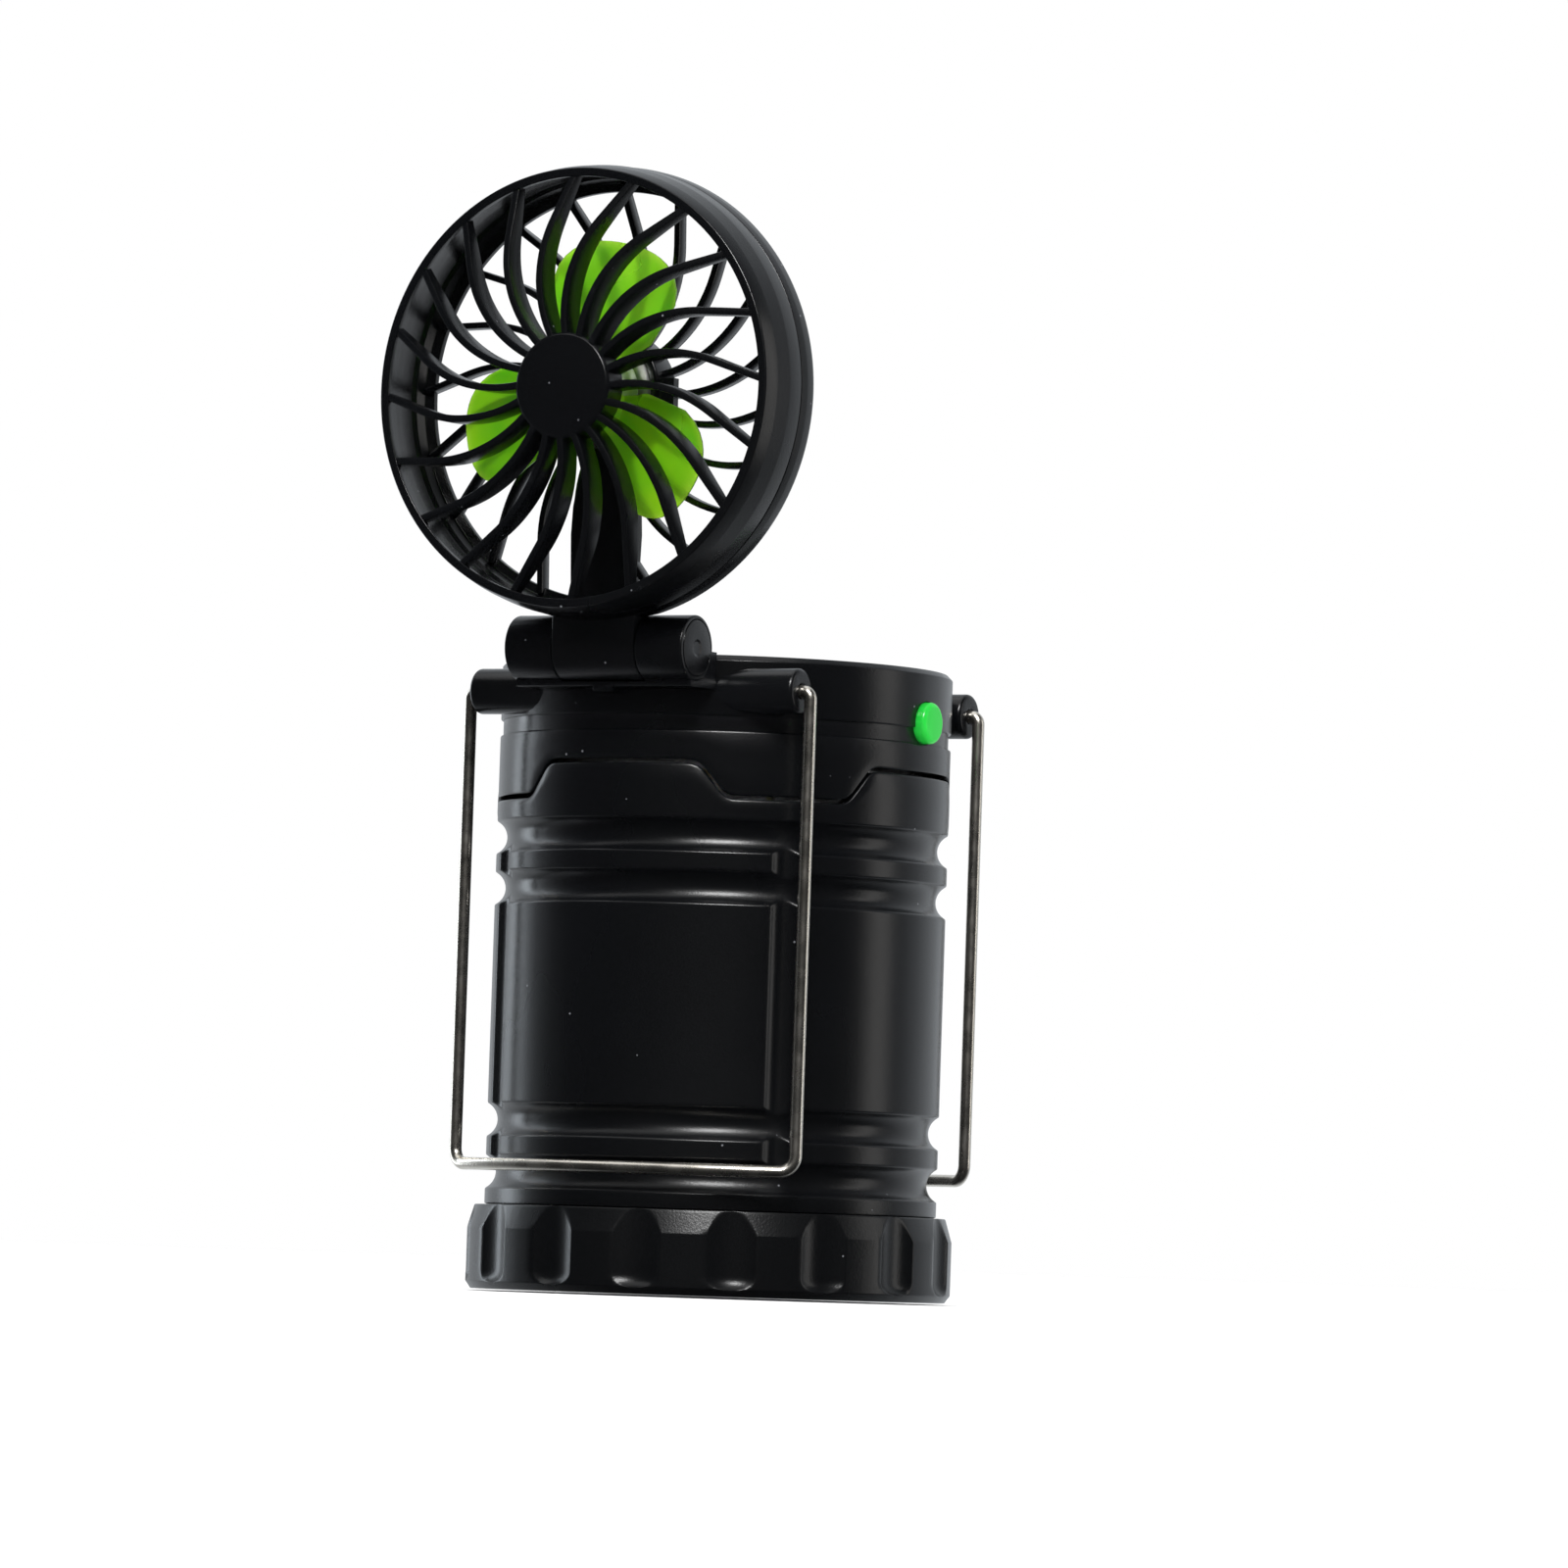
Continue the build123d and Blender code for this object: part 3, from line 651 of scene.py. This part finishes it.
def head():
    head_shell()
    bosses()
    hinge_block()
    stop_tab()
    screw_posts()
    knuckles = joined(outer_knuckle(-1), outer_knuckle(1))
    piece("outer_knuckles", *knuckles, "head", "black_abs", BLACK, 40)
    caps = joined(end_cap(-1), end_cap(1))
    piece("knuckle_caps", *caps, "head", "black_abs", BLACK, 40, ["hinge_end_caps"])


# ---- Base cap ------------------------------------------------------------------------------------
def cap_angles():
    pitch = 360 / SCALLOPS
    out = []
    for k in range(SCALLOPS):
        centre = pitch * (k + 0.5)
        off = -pitch / 2
        while off < pitch / 2 - 1e-6:
            out.append(centre + off)
            off += 0.22 if 4.6 < abs(off) < 6.3 else 0.5 if abs(off) < 7 else 1.4
    return out


def scallop_radius(angle, z):
    """Radius that the nearest scallop leaves at an angle and height."""
    pitch = 360 / SCALLOPS
    off = radians(abs(angle % pitch - pitch / 2))
    drop = max(0.0, SCALLOP_FOOT_Z - z)
    if drop >= SCALLOP_FOOT_R:
        return 1e3
    reach = SCALLOP_ARC_R - SCALLOP_FOOT_R + sqrt(SCALLOP_FOOT_R ** 2 - drop ** 2)
    centre = BASE_R - SCALLOP_DEPTH + SCALLOP_ARC_R
    across = centre * sin(off)
    if across >= reach:
        return 1e3
    return centre * cos(off) - sqrt(reach ** 2 - across ** 2)


def cap_section(angle):
    outer = rounded([(37.4, 0), (BASE_R - 1.0, 0, 0.4), (BASE_R, 1.4, 0.5), (BASE_R, BASE_H - 4.4, 0.25),
                     (BASE_R - 1.3, BASE_H, 0.35), (41.4, BASE_H)], 0.3, 5, closed=False)
    line = []
    for (r0, z0), (r1, z1) in zip(outer, outer[1:]):
        pieces = max(1, ceil((z1 - z0) / 0.42))
        for k in range(pieces):
            r, z = r0 + (r1 - r0) * k / pieces, z0 + (z1 - z0) * k / pieces
            line.append((-smooth_max(-r, -scallop_radius(angle, z), 0.07), z))
    line = [(0, 0), (10.4, 0), (11, 0.7), (37, 0.7)] + line
    line += [(41.4, BASE_H), (41.2, BASE_H - 0.2), (41.2, 3.4), (38.6, 3.4), (38.6, 2.0), (0, 2.0)]
    return line


def base_cap():
    cap = wrap(cap_angles(), cap_section, closed=False)
    webs = []
    for angle in evenly(6):
        turn = Matrix.Rotation(radians(angle), 4, "Z")
        outline = [(10.2, -1), (37.6, -1), (37.6, 1), (10.2, 1)]
        webs.append(prism(outline, 0.0, 1.0, turn))
    return piece("knurled_cap", *joined(cap, *webs), "base_cap", "black_cap", CAP_BLACK, 40, ["base_cap"])


# ---- Fan guards ----------------------------------------------------------------------------------
def spoke_line(start, turn, inner, outer, stations):
    """Points and sideways directions along a spoke: it leads, bends back, then runs straight."""
    centre = Vector((SPOKE_FOOT_R + SPOKE_BEND_R * sin(SPOKE_LEAD), -SPOKE_BEND_R * cos(SPOKE_LEAD)))
    line = []
    for k in range(400):
        heading = SPOKE_LEAD + (SPOKE_HEADING - SPOKE_LEAD) * min(1.0, k / 260)
        along = Vector((cos(heading), sin(heading)))
        side = Vector((-along.y, along.x))
        point = centre + side * SPOKE_BEND_R + along * max(0, k - 260) * 0.1
        line.append((point, side))
    out = []
    turning = Matrix.Rotation(radians(start), 2)
    for k in range(stations):
        radius = inner + (outer - inner) * k / (stations - 1)
        point, side = min(line, key=lambda pair: abs(pair[0].length - radius))
        if turn > 0:
            point, side = Vector((point.x, -point.y)), Vector((-side.x, side.y))
        out.append((radius, turning @ point, turning @ side))
    return out


def between(x, stops):
    """Piecewise-linear value from (x, value) stops."""
    for (x0, v0), (x1, v1) in zip(stops, stops[1:]):
        if x <= x1:
            return v0 + (v1 - v0) * max(0.0, (x - x0) / (x1 - x0))
    return stops[-1][1]


def spoke(start, turn, inner, outer, front, back, half=0.65, stations=34):
    """A bladed spoke: rounded front edge, flat sides, from the hub out to the ring."""
    verts, faces = [], []
    soft = 0.22 if turn < 0 else 0.3
    for r, here, side in spoke_line(start, turn, inner, outer, stations):
        top, foot = between(r, front), between(r, back)
        outline = [(-half + 0.1, foot), (-half, foot + 0.15), (-half, top - soft),
                   (-half + soft * 0.3, top - soft * 0.3), (-half + soft, top), (half - soft, top),
                   (half - soft * 0.3, top - soft * 0.3), (half, top - soft), (half, foot + 0.15),
                   (half - 0.1, foot)]
        verts += [(*(here + side * s), z) for s, z in outline]
    n = len(outline)
    for k in range(stations - 1):
        for j in range(n):
            m = (j + 1) % n
            faces.append([k * n + j, k * n + m, (k + 1) * n + m, (k + 1) * n + j])
    faces.append(list(range(n))[::-1])
    faces.append([(stations - 1) * n + j for j in range(n)])
    return verts, faces


def front_guard():
    seam = -GUARD_SEAM_DEPTH
    ring = rounded([
        (38.3, -0.05, 0.15), (39.85, 0.0, 0.35), (40.6, -3.2, 3.0), (41.15, -7.0, 3.0),
        (GUARD_SEAM_R, seam, 0.22), (39.75, seam, 0), (39.7, -9.3, 0),
        (39.45, -9.2, 0.05), (39.4, -6.6, 0.05), (39.15, -6.5, 0.05),
        (39.1, -3.9, 0.05), (38.8, -3.8, 0.05), (38.7, -1.5, 0.05), (38.35, -1.4, 0.05),
    ], 0.1, 4)
    place = FAN
    shell = lathe(ring, place, 200, closed=True)
    piece("front_ring", *shell, "fan_head", "black_abs", GUARD_BLACK, 35, ["front_rim"])
    front = ((8.7, 3.5), (14, 3.45), (20, 3.3), (25, 2.8), (30, 1.95), (34, 0.95), (39, -0.35))
    back = ((8.7, -1.7), (24, -1.9), (30, -2.2), (39, -2.5))
    spokes = [spoke(start, -1, 8.9, 38.9, front, back) for start in evenly(SPOKES, SPOKE_START)]
    verts, faces = joined(*spokes)
    piece("front_spokes", moved(verts, place), faces, "fan_head", "black_abs", GUARD_BLACK, 25,
          ["front_grille"])
    hub = rounded([(0, 3.88, 0), (4.5, 3.82, 2), (9.2, 3.62, 0.4), (9.65, 3.1, 0.3), (9.65, -2.0, 0.2),
                   (8.3, -2.0, 0.1), (8.3, 1.8, 0.2), (0, 1.8, 0)], 0.3, 5, closed=False)
    piece("front_hub", *lathe(hub, place, 96), "fan_head", "black_abs", GUARD_BLACK, 40)


def rear_guard():
    rear = -GUARD_DEPTH
    place = FAN
    ring = rounded([
        (39.75, -11.05, 0), (GUARD_SEAM_R, -11.05, 0.25), (GUARD_REAR_R, -13.0, 2.0),
        (GUARD_REAR_R, rear, 2.2), (37.2, rear, 0.5),
        (37.2, rear + 1.6, 0.3), (38.7, rear + 2.2, 0.3), (39.2, -12.0, 0.2),
    ], 0.2, 6)
    shell = lathe(ring, place, 200, closed=True)
    obj = piece("rear_ring", *shell, "fan_head", "black_abs", GUARD_BLACK, 35, ["rear_rim"])
    reliefs = [lathe([(0, KNUCKLE_HALF), (HINGE_R + 0.35, KNUCKLE_HALF), (HINGE_R + 0.35, 20), (0, 20)],
                     turn @ along_x(y, HINGE_Z), 60)
               for turn, y in ((Matrix(), HINGE_Y), (Matrix.Rotation(pi, 4, "Z"), -HINGE_Y))]
    cut(obj, reliefs)
    front = ((11, -13.4), (38, -13.7))
    back = ((11, rear + 0.05), (38.8, rear + 0.05))
    spokes = [spoke(start, 1, 11.4, 38.4, front, back, 0.6, 20) for start in evenly(SPOKES, -SPOKE_START)]
    verts, faces = joined(*spokes)
    piece("rear_spokes", moved(verts, place), faces, "fan_head", "black_abs", GUARD_BLACK, 40,
          ["rear_grille"])
    pod_r, pod_bore_r, seat_r = 11.8, 10.1, 10.9
    pod_front, pod_rear, seat = -11.4, -18.5, -17.5
    pod = rounded([(pod_bore_r, pod_front, 0.2), (pod_r, pod_front, 0.4), (pod_r, pod_rear, 1.0),
                   (seat_r, pod_rear, 0.1), (seat_r, seat, 0), (pod_bore_r, seat, 0)], 0.2, 4)
    piece("motor_pod", *lathe(pod, place, 96, closed=True), "fan_head", "black_abs", GUARD_BLACK, 40)
    motor_arm(place)
    neck()


def motor_arm(place):
    """The leaf-shaped arm that carries the leads from the pod down to the neck."""
    rear = -GUARD_DEPTH
    side = [(-4.4, -11.0), (-5.6, -15.5), (-6.45, -20.5), (-6.7, -25.5), (-6.5, -31.5), (-6.25, -38.6)]
    outline = side + [(-x, y) for x, y in reversed(side)]
    arm_h, cover_h = 3.1, 0.7
    arm_mesh = prism(outline, rear, rear + arm_h, place)
    arm = piece("lead_arm", *arm_mesh, "fan_head", "black_abs", GUARD_BLACK, 35)
    groove = [(-3.6, -36.5), (3.6, -36.5), (3.6, -13.5), (-3.6, -13.5)]
    cut(arm, [prism(groove, rear - 1, rear + cover_h, place)])
    bevelled(arm, 0.35)
    plate = rounded([(-3.5, -36.4), (3.5, -36.4), (3.5, -13.6), (-3.5, -13.6)], 0.8, 4)
    cover_mesh = prism(plate, rear, rear + cover_h, place)
    cover = piece("lead_cover", *cover_mesh, "fan_head", "black_abs", GUARD_BLACK, 35, ["duct_cover"])
    bevelled(cover, 0.15)


def neck():
    """The centre knuckle and the flat-fronted neck that rises from it into the ring."""
    front, back, top = HINGE_Y - HINGE_R, HINGE_Y - 0.5, FAN_Z - 39.4
    sweep = [pi + (1.5 * pi - 0.1) * k / 64 for k in range(65)]
    round_back = [(HINGE_Y + HINGE_R * cos(a), HINGE_Z + HINGE_R * sin(a)) for a in sweep]
    outline = [(front, top)] + round_back + [(back, HINGE_Z + HINGE_R), (back, top)]
    outline = [(-y, z) for y, z in outline]
    place = Matrix(((0, 0, 1, 0), (-1, 0, 0, 0), (0, 1, 0, 0), (0, 0, 0, 1)))
    verts, faces = prism(outline, -KNUCKLE_HALF, KNUCKLE_HALF, place)
    obj = piece("neck_knuckle", verts, faces, "fan_head", "black_abs", GUARD_BLACK, 35)
    depth, width = 0.6, 0.42
    upright = [(3.1 - width, 118.4), (3.1, 118.4), (3.1, top), (3.1 - width, top)]
    foot = [(-2.2, 118.4), (3.1 - width, 118.4), (3.1 - width, 118.4 + width), (-2.2, 118.4 + width)]
    facing = Matrix(((1, 0, 0, 0), (0, 0, 1, 0), (0, 1, 0, 0), (0, 0, 0, 1)))
    lines = [prism(shape, front - 1, front + depth, facing) for shape in (upright, foot)]
    cut(obj, lines)
    bevelled(obj, 0.18, 2)
    return obj


# ---- Rotor ---------------------------------------------------------------------------------------
def blade(centre):
    """A cambered, pitched blade with a round tip, as a closed two-sided grid."""
    across, out = 22, 16
    root_r, tip_r, mid = 7.4, 27.5, -7.9
    top, bottom = [], []
    for i in range(across + 1):
        v = -1 + 2 * i / across
        shoulder = (1 - abs(v) ** 3.2) ** 0.42 if abs(v) < 1 else 0.0
        for j in range(out + 1):
            u = j / out
            r = root_r + (tip_r - root_r) * (0.30 + 0.70 * shoulder) * u
            width = between(r, ((7, 33), (13, 38), (20, 35), (27.5, 31)))
            angle = radians(centre + v * width)
            lateral = r * sin(radians(v * width))
            pitch = between(r, ((7, 24), (15, 18.5), (27.5, 14.5)))
            z = mid + lateral * tan(radians(pitch)) - 0.7 * (1 - v * v) * (r - 7) / 20
            edge = min(1.0, 2.6 * (1 - u) + 0.02) * min(1.0, 2.6 * (1 - abs(v)) + 0.02)
            half = 0.16 + 0.42 * sqrt(edge)
            x, y = r * cos(angle), r * sin(angle)
            top.append((x, y, z + half))
            bottom.append((x, y, z - half))
    n, row = len(top), out + 1
    faces = []
    for i in range(across):
        for j in range(out):
            a, b, c, d = i * row + j, (i + 1) * row + j, (i + 1) * row + j + 1, i * row + j + 1
            faces += [[a, d, c, b], [n + a, n + b, n + c, n + d]]
    loop = [i * row for i in range(across)] + [across * row + j for j in range(out)]
    loop += [i * row + out for i in range(across, 0, -1)] + [j for j in range(out, 0, -1)]
    for a, b in zip(loop, loop[1:] + loop[:1]):
        faces.append([a, b, n + b, n + a])
    return top + bottom, faces


def impeller():
    rear = -10.9
    hub = rounded([
        (0, -2.75, 0), (6.9, -2.75, 0.9), (8.0, -4.4, 1.0), (8.0, rear, 0.4), (7.0, rear, 0.2),
        (7.0, -5.5, 0.4), (1.6, -5.5, 0.2), (1.6, rear, 0.2), (1.02, rear, 0), (1.02, -4.3, 0), (0, -4.3, 0),
    ], 0.3, 4, closed=False)
    parts = [blade(centre) for centre in (78, 198, 318)]
    verts, faces = joined(lathe(hub, steps=72), *parts)
    return piece("fan_wheel", moved(verts, FAN), faces, "rotor", "green_blade", BLADE_GREEN, 50, ["impeller"])


# ---- Wires and button ----------------------------------------------------------------------------
def wire_tube(path, radius, sides=20):
    """Round wire along a path of points, with domed ends."""
    path = [Vector(p) for p in path]
    verts, faces = [], []
    side = None
    for i, p in enumerate(path):
        ahead = (path[min(i + 1, len(path) - 1)] - path[max(i - 1, 0)]).normalized()
        if side is None:
            side = ahead.orthogonal().normalized()
        side = (side - ahead * side.dot(ahead)).normalized()
        other = ahead.cross(side)
        for k in range(sides):
            a = 2 * pi * k / sides
            verts.append(p + (side * cos(a) + other * sin(a)) * radius)
    for i in range(len(path) - 1):
        for k in range(sides):
            m = (k + 1) % sides
            faces.append([i * sides + k, i * sides + m, (i + 1) * sides + m, (i + 1) * sides + k])
    faces.append(list(range(sides))[::-1])
    faces.append([(len(path) - 1) * sides + k for k in range(sides)])
    return verts, faces


def bail(side, name, body, node):
    leg_x, bar_z = bail_high.x - WIRE_R, bail_low.z + WIRE_R
    corner, top_bend, tip_x, bow = 3.0, 1.5, 29.4, 9.9
    lean = 2 * atan2(bow, leg_x + corner)
    along = Vector((-cos(lean), side * sin(lean), 0))
    leg_y = side * BAIL_Y
    half = [Vector((tip_x, leg_y, BAIL_Z)), Vector((31.5, leg_y, BAIL_Z))]
    centre = Vector((leg_x - top_bend, leg_y, BAIL_Z - top_bend))
    half += [centre + Vector((sin(a), 0, cos(a))) * top_bend for a in (pi / 2 * k / 10 for k in range(11))]
    half += [Vector((leg_x, leg_y, BAIL_Z - top_bend - 4 - 10 * k)) for k in range(8)]
    centre = Vector((leg_x, leg_y, bar_z + corner)) + along * corner
    half += [centre - along * corner * cos(a) - Vector((0, 0, corner * sin(a)))
             for a in (pi / 2 * k / 12 for k in range(13))]
    end = half[-1]
    arc_r = abs(end.x) / sin(lean)
    bow_centre = side * (BAIL_Y + bow - arc_r)
    steps = 28
    for k in range(1, steps + 1):
        a = lean * (1 - k / steps)
        half.append(Vector((arc_r * sin(a), bow_centre + side * arc_r * cos(a), bar_z)))
    path = half + [Vector((-p.x, p.y, p.z)) for p in reversed(half[:-1])]
    return piece(name, *wire_tube(path, WIRE_R), body, "nickel_wire", WIRE, 60, [node])


def button():
    radius = (button_high.z - button_low.z) / 2
    back, face = 38.2, button_high.x
    profile = rounded([(0, back, 0), (radius, back, 0.3), (radius, face, 0.95), (0, face, 0)],
                      0.3, 8, closed=False)
    cap = lathe(profile, along_x(0, BUTTON_Z), 64)
    foot = prism([(-5, 104.8), (5, 104.8), (5, 109.5), (-5, 109.5)], 37.4, 38.3,
                 Matrix(((0, 0, 1, 0), (1, 0, 0, 0), (0, 1, 0, 0), (0, 0, 0, 1))))
    return piece("green_button", *joined(cap, foot), "button", "green_button", BUTTON_GREEN, 40,
                 ["fan_button"])


# ---- Inner pieces: CAD shapes that stay, with finished materials --------------------------------------
FINISHES = {
    "battery_bay": BLACK, "battery_cells": CELL, "cell_contacts": BRASS, "retaining_ring": BLACK,
    "contact_rails": BRASS, "cap_seal": SEAL, "contact_plate": BRASS, "contact_springs": STEEL,
    "light_globe": CLEAR, "globe_slider": BLACK, "wiper_contacts": BRASS, "lower_reflector": MIRROR,
    "lamp_column": WHITE, "cob_strips": COB, "upper_reflector": MIRROR, "lamp_deck": BLACK,
    "control_board": BOARD, "push_switch": CAP_BLACK, "head_screws": STEEL, "hinge_pin": STEEL,
    "hinge_bushes": CAP_BLACK, "fan_motor": STEEL, "motor_cover": GUARD_BLACK, "motor_screws": STEEL,
    "terminal_block": CAP_BLACK, "motor_shaft": STEEL,
}


def finish_cad_nodes():
    for name, material in FINISHES.items():
        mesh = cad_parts[name].data
        mesh.materials.clear()
        mesh.materials.append(material)


# ---- Stage, light and camera -------------------------------------------------------------------------
def floor_and_world():
    verts, faces = lathe([(0, -0.4), (9000, -0.4), (9000, -20), (0, -20)], steps=96)
    mesh = bpy.data.meshes.new("floor")
    mesh.from_pydata([Vector(v) * MM for v in verts], [], faces)
    n = Nodes("floor_paper")
    n.join(n.mix(n.noise(6, 3), (0.90, 0.90, 0.90), (0.88, 0.88, 0.88)), n.shader.inputs["Base Color"])
    n.set(Roughness=0.85, Specular_IOR_Level=0.1)
    mesh.materials.append(n.material)
    ground = bpy.data.objects.new("floor", mesh)
    bpy.context.scene.collection.objects.link(ground)
    ground.visible_glossy = False

    world = bpy.data.worlds.new("studio")
    world.use_nodes = True
    tree = world.node_tree
    shown = tree.nodes["Background"]
    shown.inputs["Color"].default_value = (1.0, 1.0, 1.0, 1)
    shown.inputs["Strength"].default_value = 1.0
    mirrored = tree.nodes.new("ShaderNodeBackground")
    mirrored.inputs["Color"].default_value = (0.90, 0.95, 1.0, 1)
    backdrop = tree.nodes.new("ShaderNodeVectorMath")
    backdrop.operation = "DOT_PRODUCT"
    away = radians(CAMERA_AZIMUTH)
    backdrop.inputs[1].default_value = (-sin(away), cos(away), 0.0)
    tree.links.new(tree.nodes.new("ShaderNodeTexCoord").outputs["Generated"], backdrop.inputs[0])
    spread = tree.nodes.new("ShaderNodeMapRange")
    spread.interpolation_type = "SMOOTHSTEP"
    for socket, value in zip(list(spread.inputs)[1:5], (-0.1, 0.9, FRONT_ROOM, BACKDROP)):
        socket.default_value = value
    tree.links.new(backdrop.outputs["Value"], spread.inputs["Value"])
    tree.links.new(spread.outputs["Result"], mirrored.inputs["Strength"])
    ray = tree.nodes.new("ShaderNodeLightPath")
    reflected = tree.nodes.new("ShaderNodeMath")
    reflected.operation = "SUBTRACT"
    reflected.use_clamp = True
    tree.links.new(ray.outputs["Is Glossy Ray"], reflected.inputs[0])
    tree.links.new(ray.outputs["Is Transmission Ray"], reflected.inputs[1])
    mix = tree.nodes.new("ShaderNodeMixShader")
    tree.links.new(reflected.outputs["Value"], mix.inputs[0])
    tree.links.new(shown.outputs[0], mix.inputs[1])
    tree.links.new(mirrored.outputs[0], mix.inputs[2])
    tree.links.new(mix.outputs[0], tree.nodes["World Output"].inputs["Surface"])
    bpy.context.scene.world = world


def area_light(name, place, aim, size, power, colour=(1, 1, 1), height=None):
    """A soft panel, place and aim in millimetres."""
    data = bpy.data.lights.new(name, "AREA")
    data.energy = power
    data.color = colour
    data.shape = "RECTANGLE"
    data.size, data.size_y = size * MM, (height or size) * MM
    lamp = bpy.data.objects.new(name, data)
    lamp.location = Vector(place) * MM
    lamp.rotation_euler = (Vector(aim) - Vector(place)).to_track_quat("-Z", "Y").to_euler()
    bpy.context.scene.collection.objects.link(lamp)


def camera(azimuth=CAMERA_AZIMUTH, distance=1700.0, height=7.0, right=11.1, aim_z=95.5, lens=210.0, roll=1.9):
    a = radians(azimuth)
    eye = Vector((distance * sin(a), -distance * cos(a), height))
    aim = Vector((right * cos(a), right * sin(a), aim_z))
    data = bpy.data.cameras.new("camera")
    data.lens = lens
    data.sensor_width = 36.0
    cam = bpy.data.objects.new("camera", data)
    turn = (aim - eye).to_track_quat("-Z", "Y").to_matrix().to_4x4()
    cam.matrix_world = Matrix.Translation(eye * MM) @ turn @ Matrix.Rotation(radians(roll), 4, "Z")
    bpy.context.scene.collection.objects.link(cam)
    bpy.context.scene.camera = cam


def lights():
    middle = (0, 0, 110)
    away = radians(CAMERA_AZIMUTH)
    above_camera = (1000 * sin(away), -1000 * cos(away), 1000)
    area_light("key_above", above_camera, middle, 450, 14, (1.0, 1.0, 1.0), 400)
    area_light("left_panel", (-1100, 100, 250), middle, 300, 3.0, (0.85, 0.93, 1.0), 1000)
    area_light("right_panel", (1000, 500, 250), middle, 300, 1.2, (1.0, 0.98, 0.95), 1000)
    data = bpy.data.lights.new("overhead", "SUN")
    data.energy = 0.6
    data.angle = radians(60)
    lamp = bpy.data.objects.new("overhead", data)
    lamp.rotation_euler = (radians(8), radians(-10), 0)
    bpy.context.scene.collection.objects.link(lamp)
    bpy.context.scene.view_settings.view_transform = "Standard"


# ---- Build -----------------------------------------------------------------------------------------
lower_casing()
upper_collar()
head()
base_cap()
front_guard()
rear_guard()
impeller()
bail(-1, "front_wire", "bail_front", "front_bail")
bail(1, "back_wire", "bail_back", "back_bail")
button()
finish_cad_nodes()
floor_and_world()
lights()
camera()

bpy.context.view_layer.update()
